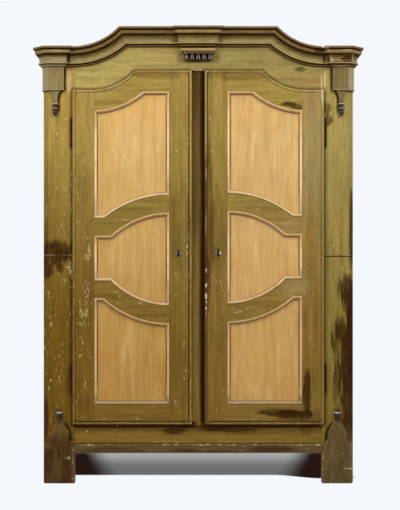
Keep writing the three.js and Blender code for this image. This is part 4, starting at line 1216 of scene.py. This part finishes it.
def bowed_line(centre_z, radius, flat, way):
    """A mid rail's edge: round from the lock stile, then flat to the hinge stile."""
    turn = np.arcsin(np.sqrt(radius**2 - (flat - centre_z) ** 2) / radius)
    start = way * np.pi / 2
    curve = arc(LOCK_EDGE + LOCK_STILE, centre_z, radius, start, start - way * turn, RAIL_STEPS)
    return np.concatenate([curve, [(HINGE_EDGE - HINGE_STILE, flat)]])


def panel_loops(lift):
    """The three panel openings of the right-hand door, from its foot up, anticlockwise."""
    lock, hinge = LOCK_EDGE + LOCK_STILE, HINGE_EDGE - HINGE_STILE
    upper_flat = DOOR_FOOT + UPPER_RAIL["flat"] + lift
    upper_centre = upper_flat + UPPER_RAIL["bow"] - UPPER_RAIL["radius"]
    lower_flat = DOOR_FOOT + LOWER_RAIL["flat"] + lift
    lower_centre = lower_flat - LOWER_RAIL["bow"] + LOWER_RAIL["radius"]
    upper_top = bowed_line(upper_centre, UPPER_RAIL["radius"], upper_flat, 1)
    upper_foot = bowed_line(upper_centre, UPPER_RAIL["radius"] - MID_RAIL, upper_flat - MID_RAIL, 1)
    lower_top = bowed_line(lower_centre, LOWER_RAIL["radius"] - MID_RAIL, lower_flat + MID_RAIL, -1)
    lower_foot = bowed_line(lower_centre, LOWER_RAIL["radius"], lower_flat, -1)
    high = DOOR_HIGH - TOP_RAIL
    foot = DOOR_FOOT + BOTTOM_RAIL
    cove = cove_line(COVE_RADIUS + TOP_RAIL, high, hinge)[::-1]
    return {
        "lower": np.concatenate([[(lock, foot), (hinge, foot)], lower_foot[::-1]]),
        "middle": np.concatenate([lower_top, upper_foot[::-1]]),
        "upper": np.concatenate([upper_top, cove, [(lock, high)]]),
    }


def moulding_section():
    """An ovolo that stands a little proud of the door, a hollow, and a small step on the panel."""
    reach = PANEL_FACE - SEAT - LIP_FACE
    shares = np.array([
        (0.0, -1.0), (0.0, -0.1), (0.05, 0.02), (0.11, 0.16), (0.24, 0.2), (0.4, 0.17), (0.52, 0.03),
        (0.62, -0.22), (0.68, -0.5), (0.705, -0.74), (0.73, -0.82), (0.86, -0.84), (0.97, -0.87),
        (1.0, -0.95), (1.0, -1.0),
    ])
    points = softened(shares * [MOULDING_WIDTH - SEAT, reach], 0.0012, 3)
    return np.stack([SEAT + points[:, 0], LIP_FACE - points[:, 1]], axis=1)


def build_mouldings(side, finish):
    """The moulding round each panel: its section carried round the opening, and mitred."""
    section = moulding_section()
    member = (section[None, :, 0] - SEAT) / (MOULDING_WIDTH - SEAT)
    for level, loop in panel_loops(RAIL_LIFT[side]).items():
        origin = np.stack([loop[:, 0], 0 * loop[:, 0], loop[:, 1]], axis=1)
        inward = mitres(loop)
        out_way = np.stack([inward[:, 0], 0 * inward[:, 0], inward[:, 1]], axis=1)
        back = np.tile([0.0, 1.0, 0.0], (len(loop), 1))
        grid = carried(section, origin, out_way, back)
        piece(
            f"moulding_{level}_{side}", sided(side, grid), f"door_{side}", finish, "moulding_peach",
            [f"panel_moulding_{level}_{side}"], wrap_rows=True, wrap_columns=True,
            member=member, facing=inward[:, 1:],
        )


# Locks and hinges


def keyhole_reach(angle):
    """How far the keyhole reaches from the middle of its eye: the eye's radius, or down the slot."""
    across, down = np.abs(np.cos(angle)), -np.sin(angle)
    slot = np.minimum(KEY_SLOT / np.maximum(across, 1e-6), KEY_DROP / np.maximum(down, 1e-6))
    return np.where(down > 0, np.maximum(KEY_EYE, slot), KEY_EYE)


def plaque_reach(angle, half_width, half_height):
    """A lozenge with hollow sides: |x / a|^p + |z / b|^p = 1, as a reach at each angle."""
    across = (np.abs(np.cos(angle)) / half_width) ** PLAQUE_POWER
    up = (np.abs(np.sin(angle)) / half_height) ** PLAQUE_POWER
    return (across + up) ** (-1 / PLAQUE_POWER)


def build_escutcheon(side, iron):
    """A keyhole plate, ring by ring from its edge to the keyhole: (1 - s) outer + s inner."""
    half_width = (plaque_high.x - plaque_low.x) / 2
    half_height = (plaque_high.z - plaque_low.z) / 2
    down = np.arctan2(-KEY_DROP, KEY_SLOT)
    corners = [down, -np.pi - down, down + 0.02, -np.pi - down - 0.02]
    angle = np.sort(np.concatenate([np.linspace(-np.pi, np.pi, 96, endpoint=False), corners]))
    outer = plaque_reach(angle, half_width, half_height)
    inner = keyhole_reach(angle)
    back, face = LIP_FACE - SEAT, plaque_low.y
    thick = back - face
    share = np.array([0.0, 0.0, 0.04, 0.12, 0.5, 0.8, 0.96, 1.0, 1.0])
    depth = back - thick * np.array([0.0, 0.45, 0.72, 0.80, 0.86, 1.0, 0.96, 0.8, 0.0])
    reach = outer[None] * (1 - share[:, None]) + inner[None] * share[:, None]
    x = KEY_X + reach * np.cos(angle)[None]
    z = KEY_Z + reach * np.sin(angle)[None]
    grid = np.stack([x, np.broadcast_to(depth[:, None], x.shape), z], axis=-1)
    relief = np.array([0, 0.0002, 0.0006, 0.0003, 0, 0.0002, 0.0006, 0.0002, 0])[:, None]
    piece(
        f"escutcheon_plate_{side}", sided(side, grid), f"door_{side}", iron, "iron", [f"escutcheon_{side}"],
        wrap_rows=True, wrap_columns=True, relief=relief,
    )
    for name, way in (("top", 1), ("foot", -1)):
        place = (SIDES[side] * KEY_X, face + thick * 0.2, KEY_Z + way * half_height * 0.72)
        add_head(f"escutcheon_pin_{name}_{side}", place, PIN_HEAD, -1, f"door_{side}", iron)


def add_head(name, place, size, way, body, iron):
    """A round head that stands off a face: radius r cos a at height h sin a along the depth."""
    radius, height = size["radius"], size["height"]
    angle = np.linspace(0, np.pi / 2, 7)
    profile = np.stack([radius * np.cos(angle), height * np.sin(angle)], axis=1)
    profile[-1, 0] = 0
    profile = np.concatenate([[(0, -height / 2), (radius, -height / 2)], profile])
    turn = np.linspace(0, 2 * np.pi, 20, endpoint=False)
    round_way = np.stack([np.cos(turn), 0 * turn, np.sin(turn)], axis=1)
    deep = np.tile([0.0, float(way), 0.0], (len(turn), 1))
    grid = carried(profile, np.tile(place, (len(turn), 1)), round_way, deep)
    piece(name, grid, body, iron, "iron", wrap_rows=True, relief=0.0004)


def finial(end, way):
    """The turned tip of a barrel: neck, small ball and flat end, from the barrel outwards."""
    shares = [
        (0.98, 0.0), (0.62, 0.06), (0.45, 0.22), (0.5, 0.34), (0.62, 0.46), (0.64, 0.58), (0.55, 0.74),
        (0.38, 0.93), (0.0, 1.0),
    ]
    return [(out * BARREL_RADIUS, end + way * up * BARREL_TIP) for out, up in shares]


def build_hinge(side, level, iron):
    """A lift-off hinge: a barrel with its pin on the case, a bored one on the door, and a leaf on each."""
    body = f"door_{side}"
    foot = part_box(f"hinge_{level}_pin_half_{side}")[0].z + BARREL_TIP
    middle = foot + BARREL_LENGTH / 2
    top = foot + BARREL_LENGTH
    x = HINGE_EDGE + HINGE_OFFSET
    y = FRONT - BARREL_RADIUS - SEAT
    eased = BARREL_RADIUS - BARREL_EASE
    bore = PIN_RADIUS + PIN_PLAY
    pin = [
        *finial(foot, -1)[::-1], (BARREL_RADIUS, foot + 0.001), (BARREL_RADIUS, middle - 0.001),
        (eased, middle - SEAT / 2), (PIN_RADIUS, middle - SEAT / 2),
        (PIN_RADIUS, top - BARREL_TIP), (0, top - BARREL_TIP / 2),
    ]
    barrel = [
        (0, top - BARREL_TIP / 3), (bore, top - BARREL_TIP / 3), (bore, middle + SEAT / 2),
        (eased, middle + SEAT / 2), (BARREL_RADIUS, middle + 0.001), (BARREL_RADIUS, top - 0.001),
        *finial(top, 1),
    ]
    for part, half, owner, profile in (("case", "pin", "carcass", pin), ("door", "door", body, barrel)):
        piece(
            f"hinge_{level}_{part}_barrel_{side}", sided(side, turned(profile, x, y, BARREL_SIDES)), owner,
            iron, "iron", [f"hinge_{level}_{half}_half_{side}"], wrap_rows=True, relief=0.0,
        )
    low = (BARREL_LENGTH / 2 - LEAF_HEIGHT) / 2
    thick = LEAF_THICKNESS / 2
    leaves = {
        "case": ("carcass", (x - thick, x + thick), (y + PIN_RADIUS, y + LEAF_DEPTH), foot + low),
        "door": (
            body, (x - HINGE_OFFSET - LEAF_DEPTH, x - PIN_RADIUS), (y - thick, y + thick), middle + low,
        ),
    }
    for part, (owner, across, deep, z) in leaves.items():
        x0, x1 = sorted(SIDES[side] * end for end in across)
        corners = (x0, deep[0], z), (x1, deep[1], z + LEAF_HEIGHT)
        boxed(f"hinge_{level}_{part}_leaf_{side}", *corners, LEAF_EASE, owner, iron, "iron")


def build_lock_screws(side, iron):
    """The four screws at the back of a lock case."""
    heights = {"low": case_low.z + SCREW_INSET, "high": case_high.z - SCREW_INSET}
    across = {"inner": case_low.x + SCREW_INSET, "outer": case_high.x - SCREW_INSET}
    for row, z in heights.items():
        for column, x in across.items():
            place = (SIDES[side] * x, case_high.y, z)
            add_head(f"lock_screw_{row}_{column}_{side}", place, SCREW_HEAD, 1, f"door_{side}", iron)


# Where the wear is, and some painted shade: [x, z, half width, half height, depth] in metres

CROWN_SPOTS = [
    (0.556, 1.993, 0.018, 0.02, 0.85), (0.69, 1.958, 0.034, 0.018, 0.9),
    (0.64, 1.945, 0.03, 0.006, 0.5), (0.6, 1.952, 0.012, 0.016, 0.55),
    (-0.69, 1.955, 0.03, 0.008, 0.3), (-0.3, 2.075, 0.05, 0.008, 0.3), (0.18, 2.075, 0.06, 0.006, 0.3),
    # these two, in the cavetto beside the keystone, are painted shade
    (-0.105, 2.06, 0.01, 0.04, 0.45), (0.105, 2.06, 0.01, 0.04, 0.35),
]
CROWN_KNOCKS = [
    (0.574, 2.012, 0.01, 0.006, 0.6), (0.592, 2.003, 0.007, 0.006, 0.6),
    (0.68, 1.9965, 0.026, 0.003, 0.4), (0.655, 1.9265, 0.036, 0.003, 0.45),
    (-0.655, 1.9935, 0.03, 0.003, 0.3), (0.712, 1.962, 0.005, 0.02, 0.35),
    (0.612, 1.956, 0.005, 0.014, 0.35),
]
POST_SPOTS = {
    "left": [
        (-0.655, 1.066, 0.105, 0.064, 0.97), (-0.7, 0.985, 0.03, 0.05, 0.9),
        (-0.64, 0.995, 0.02, 0.024, 0.75), (-0.65, 1.27, 0.1, 0.11, 0.1),
        (-0.59, 1.07, 0.03, 0.06, 0.6), (-0.705, 1.15, 0.012, 0.08, 0.5),
        (-0.707, 0.3, 0.014, 0.11, 0.85), (-0.6, 0.45, 0.01, 0.1, 0.3),
        (-0.706, 1.4, 0.008, 0.12, 0.3),
    ],
    "right": [
        (0.594, 1.735, 0.022, 0.03, 0.7), (0.602, 1.68, 0.024, 0.024, 0.75),
        (0.712, 1.17, 0.012, 0.21, 0.95), (0.7, 0.895, 0.05, 0.07, 0.92),
        (0.706, 0.77, 0.03, 0.06, 0.9), (0.695, 0.6, 0.066, 0.16, 0.95),
        (0.702, 0.4, 0.056, 0.15, 0.9), (0.69, 0.26, 0.052, 0.08, 0.72),
        (0.64, 0.52, 0.012, 0.04, 0.5), (0.634, 0.44, 0.016, 0.06, 0.5),
        (0.652, 0.3, 0.016, 0.06, 0.5), (0.712, 0.8, 0.024, 0.13, 0.92),
        (0.7, 0.68, 0.086, 0.11, 0.93), (0.704, 0.52, 0.074, 0.14, 0.9),
        (0.706, 0.83, 0.044, 0.08, 0.9),
    ],
}
POST_SCUFFS = {
    "left": [(-0.596, 1.866, 0.015, 0.056, 0.26)],
    "right": [(0.586, 1.868, 0.007, 0.054, 0.26), (0.588, 1.66, 0.002, 0.05, 0.45)],
}
POST_CHIPS = {
    "left": [
        (-0.66, 1.45, 0.1, 0.5, 0.05), (-0.66, 0.72, 0.1, 0.35, 0.04),
        (-0.588, 1.0, 0.024, 0.045, 0.19), (-0.7, 0.85, 0.03, 0.25, 0.03),
    ],
    "right": [
        (0.685, 0.995, 0.04, 0.03, 0.2), (0.6, 1.3, 0.02, 0.1, 0.03), (0.655, 0.76, 0.02, 0.08, 0.06),
    ],
}
DOOR_SPOTS = {
    "left": [
        (-0.53, 0.37, 0.03, 0.05, 0.25), (-0.3, 1.25, 0.14, 0.03, 0.2),
        # the long thin spot at the top rail's middle is painted shade under the frieze
        (-0.08, 1.22, 0.06, 0.22, 0.23), (-0.1, 0.63, 0.05, 0.2, 0.1), (-0.2, 1.893, 0.15, 0.03, 0.3),
        (-0.515, 1.02, 0.03, 0.25, 0.08), (-0.535, 1.36, 0.06, 0.15, 0.15),
    ],
    "right": [
        (0.416, 1.752, 0.032, 0.012, 0.9), (0.456, 1.738, 0.034, 0.011, 0.9),
        (0.4, 0.323, 0.125, 0.024, 0.92), (0.44, 0.322, 0.08, 0.019, 0.8),
        (0.5, 0.41, 0.022, 0.1, 0.93), (0.495, 0.315, 0.024, 0.03, 0.8),
        (0.048, 1.24, 0.03, 0.32, 0.55), (0.088, 1.16, 0.05, 0.22, 0.3),
        # the long thin spot at the top rail's middle is painted shade under the frieze
        (0.19, 1.89, 0.15, 0.034, 0.42), (0.545, 0.3, 0.02, 0.05, 0.4), (0.042, 0.9, 0.018, 0.16, 0.5),
        (0.235, 1.288, 0.07, 0.03, 0.09),
    ],
}
DOOR_SCUFFS = {
    "left": [
        (-0.052, 1.095, 0.003, 0.006, 0.7), (-0.0524, 1.062, 0.0024, 0.008, 0.7),
        (-0.06, 1.078, 0.006, 0.003, 0.35),
    ],
    "right": [
        (0.5725, 1.79, 0.004, 0.05, 0.75), (0.0366, 0.984, 0.0038, 0.01, 0.6),
        (0.036, 0.915, 0.0046, 0.01, 0.8), (0.0366, 0.866, 0.0054, 0.012, 0.9),
        (0.0378, 0.838, 0.0038, 0.01, 0.4), (0.0362, 0.809, 0.0044, 0.008, 0.8),
        (0.0372, 0.788, 0.0026, 0.01, 0.4), (0.0356, 1.43, 0.0028, 0.03, 0.35),
        (0.0356, 1.2, 0.0026, 0.06, 0.25), (0.446, 0.915, 0.074, 0.06, 0.1),
        (0.43, 1.182, 0.07, 0.05, 0.07), (0.53, 1.52, 0.05, 0.24, 0.08),
    ],
}
DOOR_CHIPS = {
    "left": [
        (-0.535, 0.95, 0.05, 0.4, 0.046), (-0.535, 0.55, 0.05, 0.3, 0.036),
        (-0.535, 1.48, 0.05, 0.26, 0.036), (-0.08, 0.42, 0.06, 0.14, 0.02),
        (-0.3, 0.33, 0.25, 0.04, 0.02), (-0.38, 0.86, 0.12, 0.05, 0.08),
        (-0.512, 1.045, 0.022, 0.018, 0.17), (-0.515, 0.9, 0.026, 0.05, 0.13),
        (-0.52, 0.79, 0.03, 0.04, 0.1),
    ],
    "right": [
        (0.07, 0.89, 0.03, 0.09, 0.09), (0.035, 1.5, 0.015, 0.1, 0.05), (0.3, 1.24, 0.2, 0.05, 0.07),
        (0.09, 0.38, 0.05, 0.08, 0.03), (0.46, 0.88, 0.06, 0.05, 0.1), (0.22, 0.8, 0.12, 0.03, 0.1),
    ],
}
# The frieze: the first spot is a knot; the next three are painted shade beside and under the keystone; the
# last two are dark patches
FRIEZE_SPOTS = [
    (0.475, 1.914, 0.03, 0.014, 0.75), (-0.086, 1.968, 0.014, 0.022, 0.35),
    (0.088, 1.964, 0.016, 0.026, 0.4), (0.0, 1.9505, 0.07, 0.0055, 1.0),
    (-0.25, 1.93, 0.05, 0.006, 0.2), (0.27, 1.95, 0.06, 0.008, 0.2),
]
FRIEZE_SCUFFS = [(0.57, 1.856, 0.003, 0.036, 0.8)]
# The base rail: the spots just under the doors are smoky stains and painted shadow of the doors together;
# the lower ones are smoky stains
RAIL_SPOTS = [
    (-0.115, 0.243, 0.07, 0.016, 0.9), (0.15, 0.246, 0.17, 0.018, 0.93),
    (-0.02, 0.258, 0.1, 0.01, 0.7), (0.34, 0.156, 0.11, 0.014, 0.7), (-0.05, 0.152, 0.08, 0.014, 0.6),
    (0.1, 0.15, 0.09, 0.012, 0.5), (-0.4, 0.152, 0.16, 0.012, 0.45), (0.5, 0.24, 0.03, 0.02, 0.4),
]


def centre_post_paint():
    """The post between the doors: painted nearly black on its right as the shadow of the right door's lip,
    and darker at its top as painted shade under the frieze, with a dark patch at its waist.
    """
    finish = Finish("centre_post_paint")
    streak, hair = olive_base(finish, "centre_post", "z", 40)
    wander = (finish.noise(12, (1, 1, 0.1), 3, 0.5, shift=41) - 0.5) * 0.02
    right = (finish.x + wander).step(-0.002, 0.020)
    top = finish.z.step(1.50, 1.88)
    waist = finish.spot(-0.01, 1.34, 0.05, 0.20, 0.0)
    # painted shadow of the right door on the right, painted shade under the frieze at the top, and a dark
    # patch at the waist
    finish.coat((34, 14, 0), (right * 0.94).most(top * 0.50).most(waist * 0.22))
    return finish.finished(0.46 + 0.2 * streak, streak + hair * 0.5, 0.0006, 0.5)


def dress(names, finish):
    """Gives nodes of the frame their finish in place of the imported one."""
    for name in names:
        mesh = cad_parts[name].data
        mesh.materials.clear()
        mesh.materials.append(finish)


def dress_doors(side, sign):
    for part, shift in (("hinge", 5.7), ("lock", 6.5)):
        upright = olive_paint(
            f"{part}_stile_paint_{side}", f"{part}_{side}", "z", shift=sign * shift, rim=True,
            spots=DOOR_SPOTS[side], worn=DOOR_CHIPS[side], scuffs=DOOR_SCUFFS[side],
            chips=0.0 if sign < 0 else -0.03,
        )
        dress([f"door_{part}_stile_{side}"], upright)
    for number, rail in enumerate(("bottom_rail", "lower_mid_rail", "upper_mid_rail", "top_rail")):
        level = olive_paint(
            f"{rail}_paint_{side}", f"rail_{side}", "x", shift=sign * (9.0 + number), rim=True,
            spots=DOOR_SPOTS[side], worn=DOOR_CHIPS[side], scuffs=DOOR_SCUFFS[side], chips=-0.03,
        )
        dress([f"door_{rail}_{side}"], level)
    panels = [f"door_panel_{part}_{side}" for part in LEVELS]
    dress(panels, ochre_paint(f"panel_ochre_{side}", side, sign * 3.0))


def dress_frame():
    for side, sign in SIDES.items():
        post = olive_paint(
            f"post_paint_{side}", f"post_{side}", "z", shift=sign * 2.0, spots=POST_SPOTS[side],
            worn=POST_CHIPS[side], chips=0.0 if sign < 0 else -0.05, seam=SEAM_LINE[side],
            scuffs=POST_SCUFFS[side],
        )
        dress([f"corner_post_lower_{side}", f"corner_post_upper_{side}"], post)
        dress_doors(side, sign)
    sides = olive_paint("side_paint", "side", "z", shift=14.0, chips=-0.04)
    dress([f"side_{part}_{side}" for part in ("lower", "upper") for side in SIDES], sides)
    frieze = olive_paint(
        "frieze_paint", "frieze", "x", 17.0, FRIEZE_SPOTS, chips=-0.06, scuffs=FRIEZE_SCUFFS, lean=0.28
    )
    dress(["frieze"], frieze)
    dress(["base_rail"], olive_paint("base_rail_paint", "base_rail", "x", 19.0, RAIL_SPOTS, chips=-0.03))
    dress(["centre_post"], centre_post_paint())
    dress(["back_lower", "back_upper"], bare_pine("back_pine", "z", 50, 0.9, BACK_BOARDS))
    dress(["floor_board", "roof_board", "shelf_lower", "shelf_upper"], bare_pine("shelf_pine", "x", 55))
    iron = forged_iron("lock_iron", 0.3)
    dress([f"{part}_{side}" for part in ("lock_case", "lock_bolt") for side in SIDES], iron)


def build_pieces():
    crown = crown_paint("crown_paint")
    build_crown(crown)
    lobes = turned_finish("lobe_dark", (58, 40, 32), (120, 94, 86))
    dark = turned_finish("turned_dark", (42, 24, 18), (186, 168, 166))
    # painted shade: the keystone's neck and the ground between its lobes are near black
    recess = turned_finish("recess_shade", (34, 18, 8), (60, 38, 22), gloss=0.0)
    band = olive_paint("keystone_paint", "keystone", "x", shift=25.0, chips=-0.07)
    bead = olive_paint("keystone_bead_paint", "keystone_bead", "x", shift=26.0, chips=-0.07)
    build_keystone(band, bead, lobes, recess)
    feet = foot_finish("foot_board_paint")
    peach = peach_paint("moulding_paint")
    iron = plate_iron("plate_iron")
    hinges = forged_iron("hinge_iron", 0.05, rusted=0.2, shine=0.2)
    for side in SIDES:
        block = olive_paint(f"capital_paint_{side}", f"capital_{side}", "z", shift=23.0, chips=-0.07)
        build_capital(side, block, dark)
        build_foot(side, feet, dark)
        build_mouldings(side, peach)
        build_escutcheon(side, iron)
        build_lock_screws(side, iron)
        for level in ("upper", "lower"):
            build_hinge(side, level, hinges)


# Stage, lamps and camera

CAMERA_PLACE = (0.008, -5.23, 1.055)
CAMERA_LENS = 76.2
PALE = (0.90, 0.935, 0.97, 1.0)
PAPER = (0.90, 0.90, 0.90, 1.0)
PAPER_BOUNCE = (0.56, 0.56, 0.56, 1.0)
PAPER_GLOW = 0.14
FLOOR_REACH = 60.0
# The shade under the object starts behind the front feet, a little further back on the right, and
# the inner edge of its dark corners slants with the depth
SHADE_REACH = 0.03
SHADE_FRONT = FRONT + 0.182
SHADE_BEHIND = 0.9
SHADE_INNER = 0.462
SHADE_SLANT = 0.190
SHADE_RIGHT = {"back": 0.075, "from": 0.36, "to": 0.58}
SHADE_DARK = (36, 22, 17)


def floor_finish(name):
    """Pale studio paper: it takes the shade under the object, and away from it is its own plain
    colour. Under the object it is painted grey for the camera, with dark corners that glow as painted
    shade. It throws less light back at the object than it shows."""
    finish = Finish(name, specular=0.0)
    finish.set("Roughness", 0.9)
    tree = finish.tree
    seen = finish.node("ShaderNodeLightPath", output="Is Camera Ray")
    glossy = finish.node("ShaderNodeLightPath", output="Is Glossy Ray")
    through = finish.node("ShaderNodeLightPath", output="Is Transmission Ray")
    shown = seen.most(glossy).most(through)
    across = abs(finish.x)
    behind = finish.y - BACK
    ahead = SHADE_FRONT - SHADE_RIGHT["back"] * finish.x.step(SHADE_RIGHT["from"], SHADE_RIGHT["to"])
    inner = across - SHADE_INNER - (finish.y - SHADE_FRONT) * SHADE_SLANT
    # painted shade: dark corners under the object, shown by a glow of dark colour, and the paper greyed
    # under it
    corner = inner.step(-0.10, 0.045) * behind.step(0.50, 0.28)
    deep = finish.y.step(BACK + 0.20, SHADE_FRONT + 0.05)
    shade = finish.mix(PAPER, (0.50, 0.46, 0.46, 1.0), deep)
    finish.set("Base Color", finish.mix(PAPER_BOUNCE, shade, shown))
    aside = (across - CASE_HALF).step(-0.01, SHADE_REACH)
    away = aside.most((ahead - finish.y).step(-0.012, 0.016))
    away = away.most(behind.step(0.14, SHADE_BEHIND))
    dark = corner * (1.0 - away)
    faint = away.most(PAPER_GLOW + 0.15 * behind.step(-0.10, 0.22))
    cover = 1.0 - (1.0 - dark) * (1.0 - faint)
    glow = tree.nodes.new("ShaderNodeEmission")
    finish.feed(glow.inputs["Color"], finish.mix(PALE, SHADE_DARK, dark / cover))
    blend = tree.nodes.new("ShaderNodeMixShader")
    tree.links.new((shown * cover).socket, blend.inputs[0])
    tree.links.new(finish.shader.outputs[0], blend.inputs[1])
    tree.links.new(glow.outputs[0], blend.inputs[2])
    tree.links.new(blend.outputs[0], tree.nodes["Material Output"].inputs[0])
    return finish.material


def build_stage():
    reach = FLOOR_REACH
    mesh = bpy.data.meshes.new("floor")
    points = [(-reach, -reach, 0), (reach, -reach, 0), (reach, reach, 0), (-reach, reach, 0)]
    mesh.from_pydata(points, [], [(0, 1, 2, 3)])
    mesh.materials.append(floor_finish("floor_paper"))
    floor = placed("floor", mesh)


LAMPS = {
    "left_softbox": {"place": (-2.05, -1.95, 3.15), "size": 0.9, "power": 50, "target": (0, -0.2, 1.0)},
    "right_softbox": {"place": (2.05, -1.95, 3.15), "size": 0.9, "power": 50, "target": (0, -0.2, 1.0)},
    "top_softbox": {"place": (0, -1.3, 4.6), "size": 2.5, "power": 90, "target": (0, -1.3, 0)},
}
AMBIENT = 0.27


def aim(item, start, target):
    """Stands a lamp at its place and turns it to a target."""
    way = Vector(target) - Vector(start)
    item.location = start
    item.rotation_euler = way.to_track_quat("-Z", "Y").to_euler()


def build_lights():
    for name, lamp in LAMPS.items():
        light = bpy.data.lights.new(name, "AREA")
        light.shape = "SQUARE"
        light.size = lamp["size"]
        light.energy = lamp["power"]
        aim(placed(name, light), lamp["place"], lamp["target"])
    world = bpy.data.worlds.new("studio")
    world.use_nodes = True
    tree = world.node_tree
    soft = tree.nodes["Background"]
    soft.inputs["Color"].default_value = (1.0, 1.0, 1.0, 1.0)
    soft.inputs["Strength"].default_value = AMBIENT
    seen = tree.nodes.new("ShaderNodeBackground")
    seen.inputs["Color"].default_value = PALE
    seen.inputs["Strength"].default_value = 1.0
    path = tree.nodes.new("ShaderNodeLightPath")
    blend = tree.nodes.new("ShaderNodeMixShader")
    tree.links.new(path.outputs["Is Camera Ray"], blend.inputs[0])
    tree.links.new(soft.outputs[0], blend.inputs[1])
    tree.links.new(seen.outputs[0], blend.inputs[2])
    tree.links.new(blend.outputs[0], tree.nodes["World Output"].inputs[0])
    bpy.context.scene.world = world


def build_camera():
    camera = bpy.data.cameras.new("camera")
    camera.lens = CAMERA_LENS
    camera.sensor_width = 36
    camera.clip_end = 200
    item = placed("camera", camera)
    item.location = CAMERA_PLACE
    item.rotation_euler = (np.pi / 2, 0, 0)
    bpy.context.scene.camera = item


build_camera()
build_lights()
build_stage()
build_pieces()
dress_frame()

bpy.context.scene.view_settings.view_transform = "Standard"
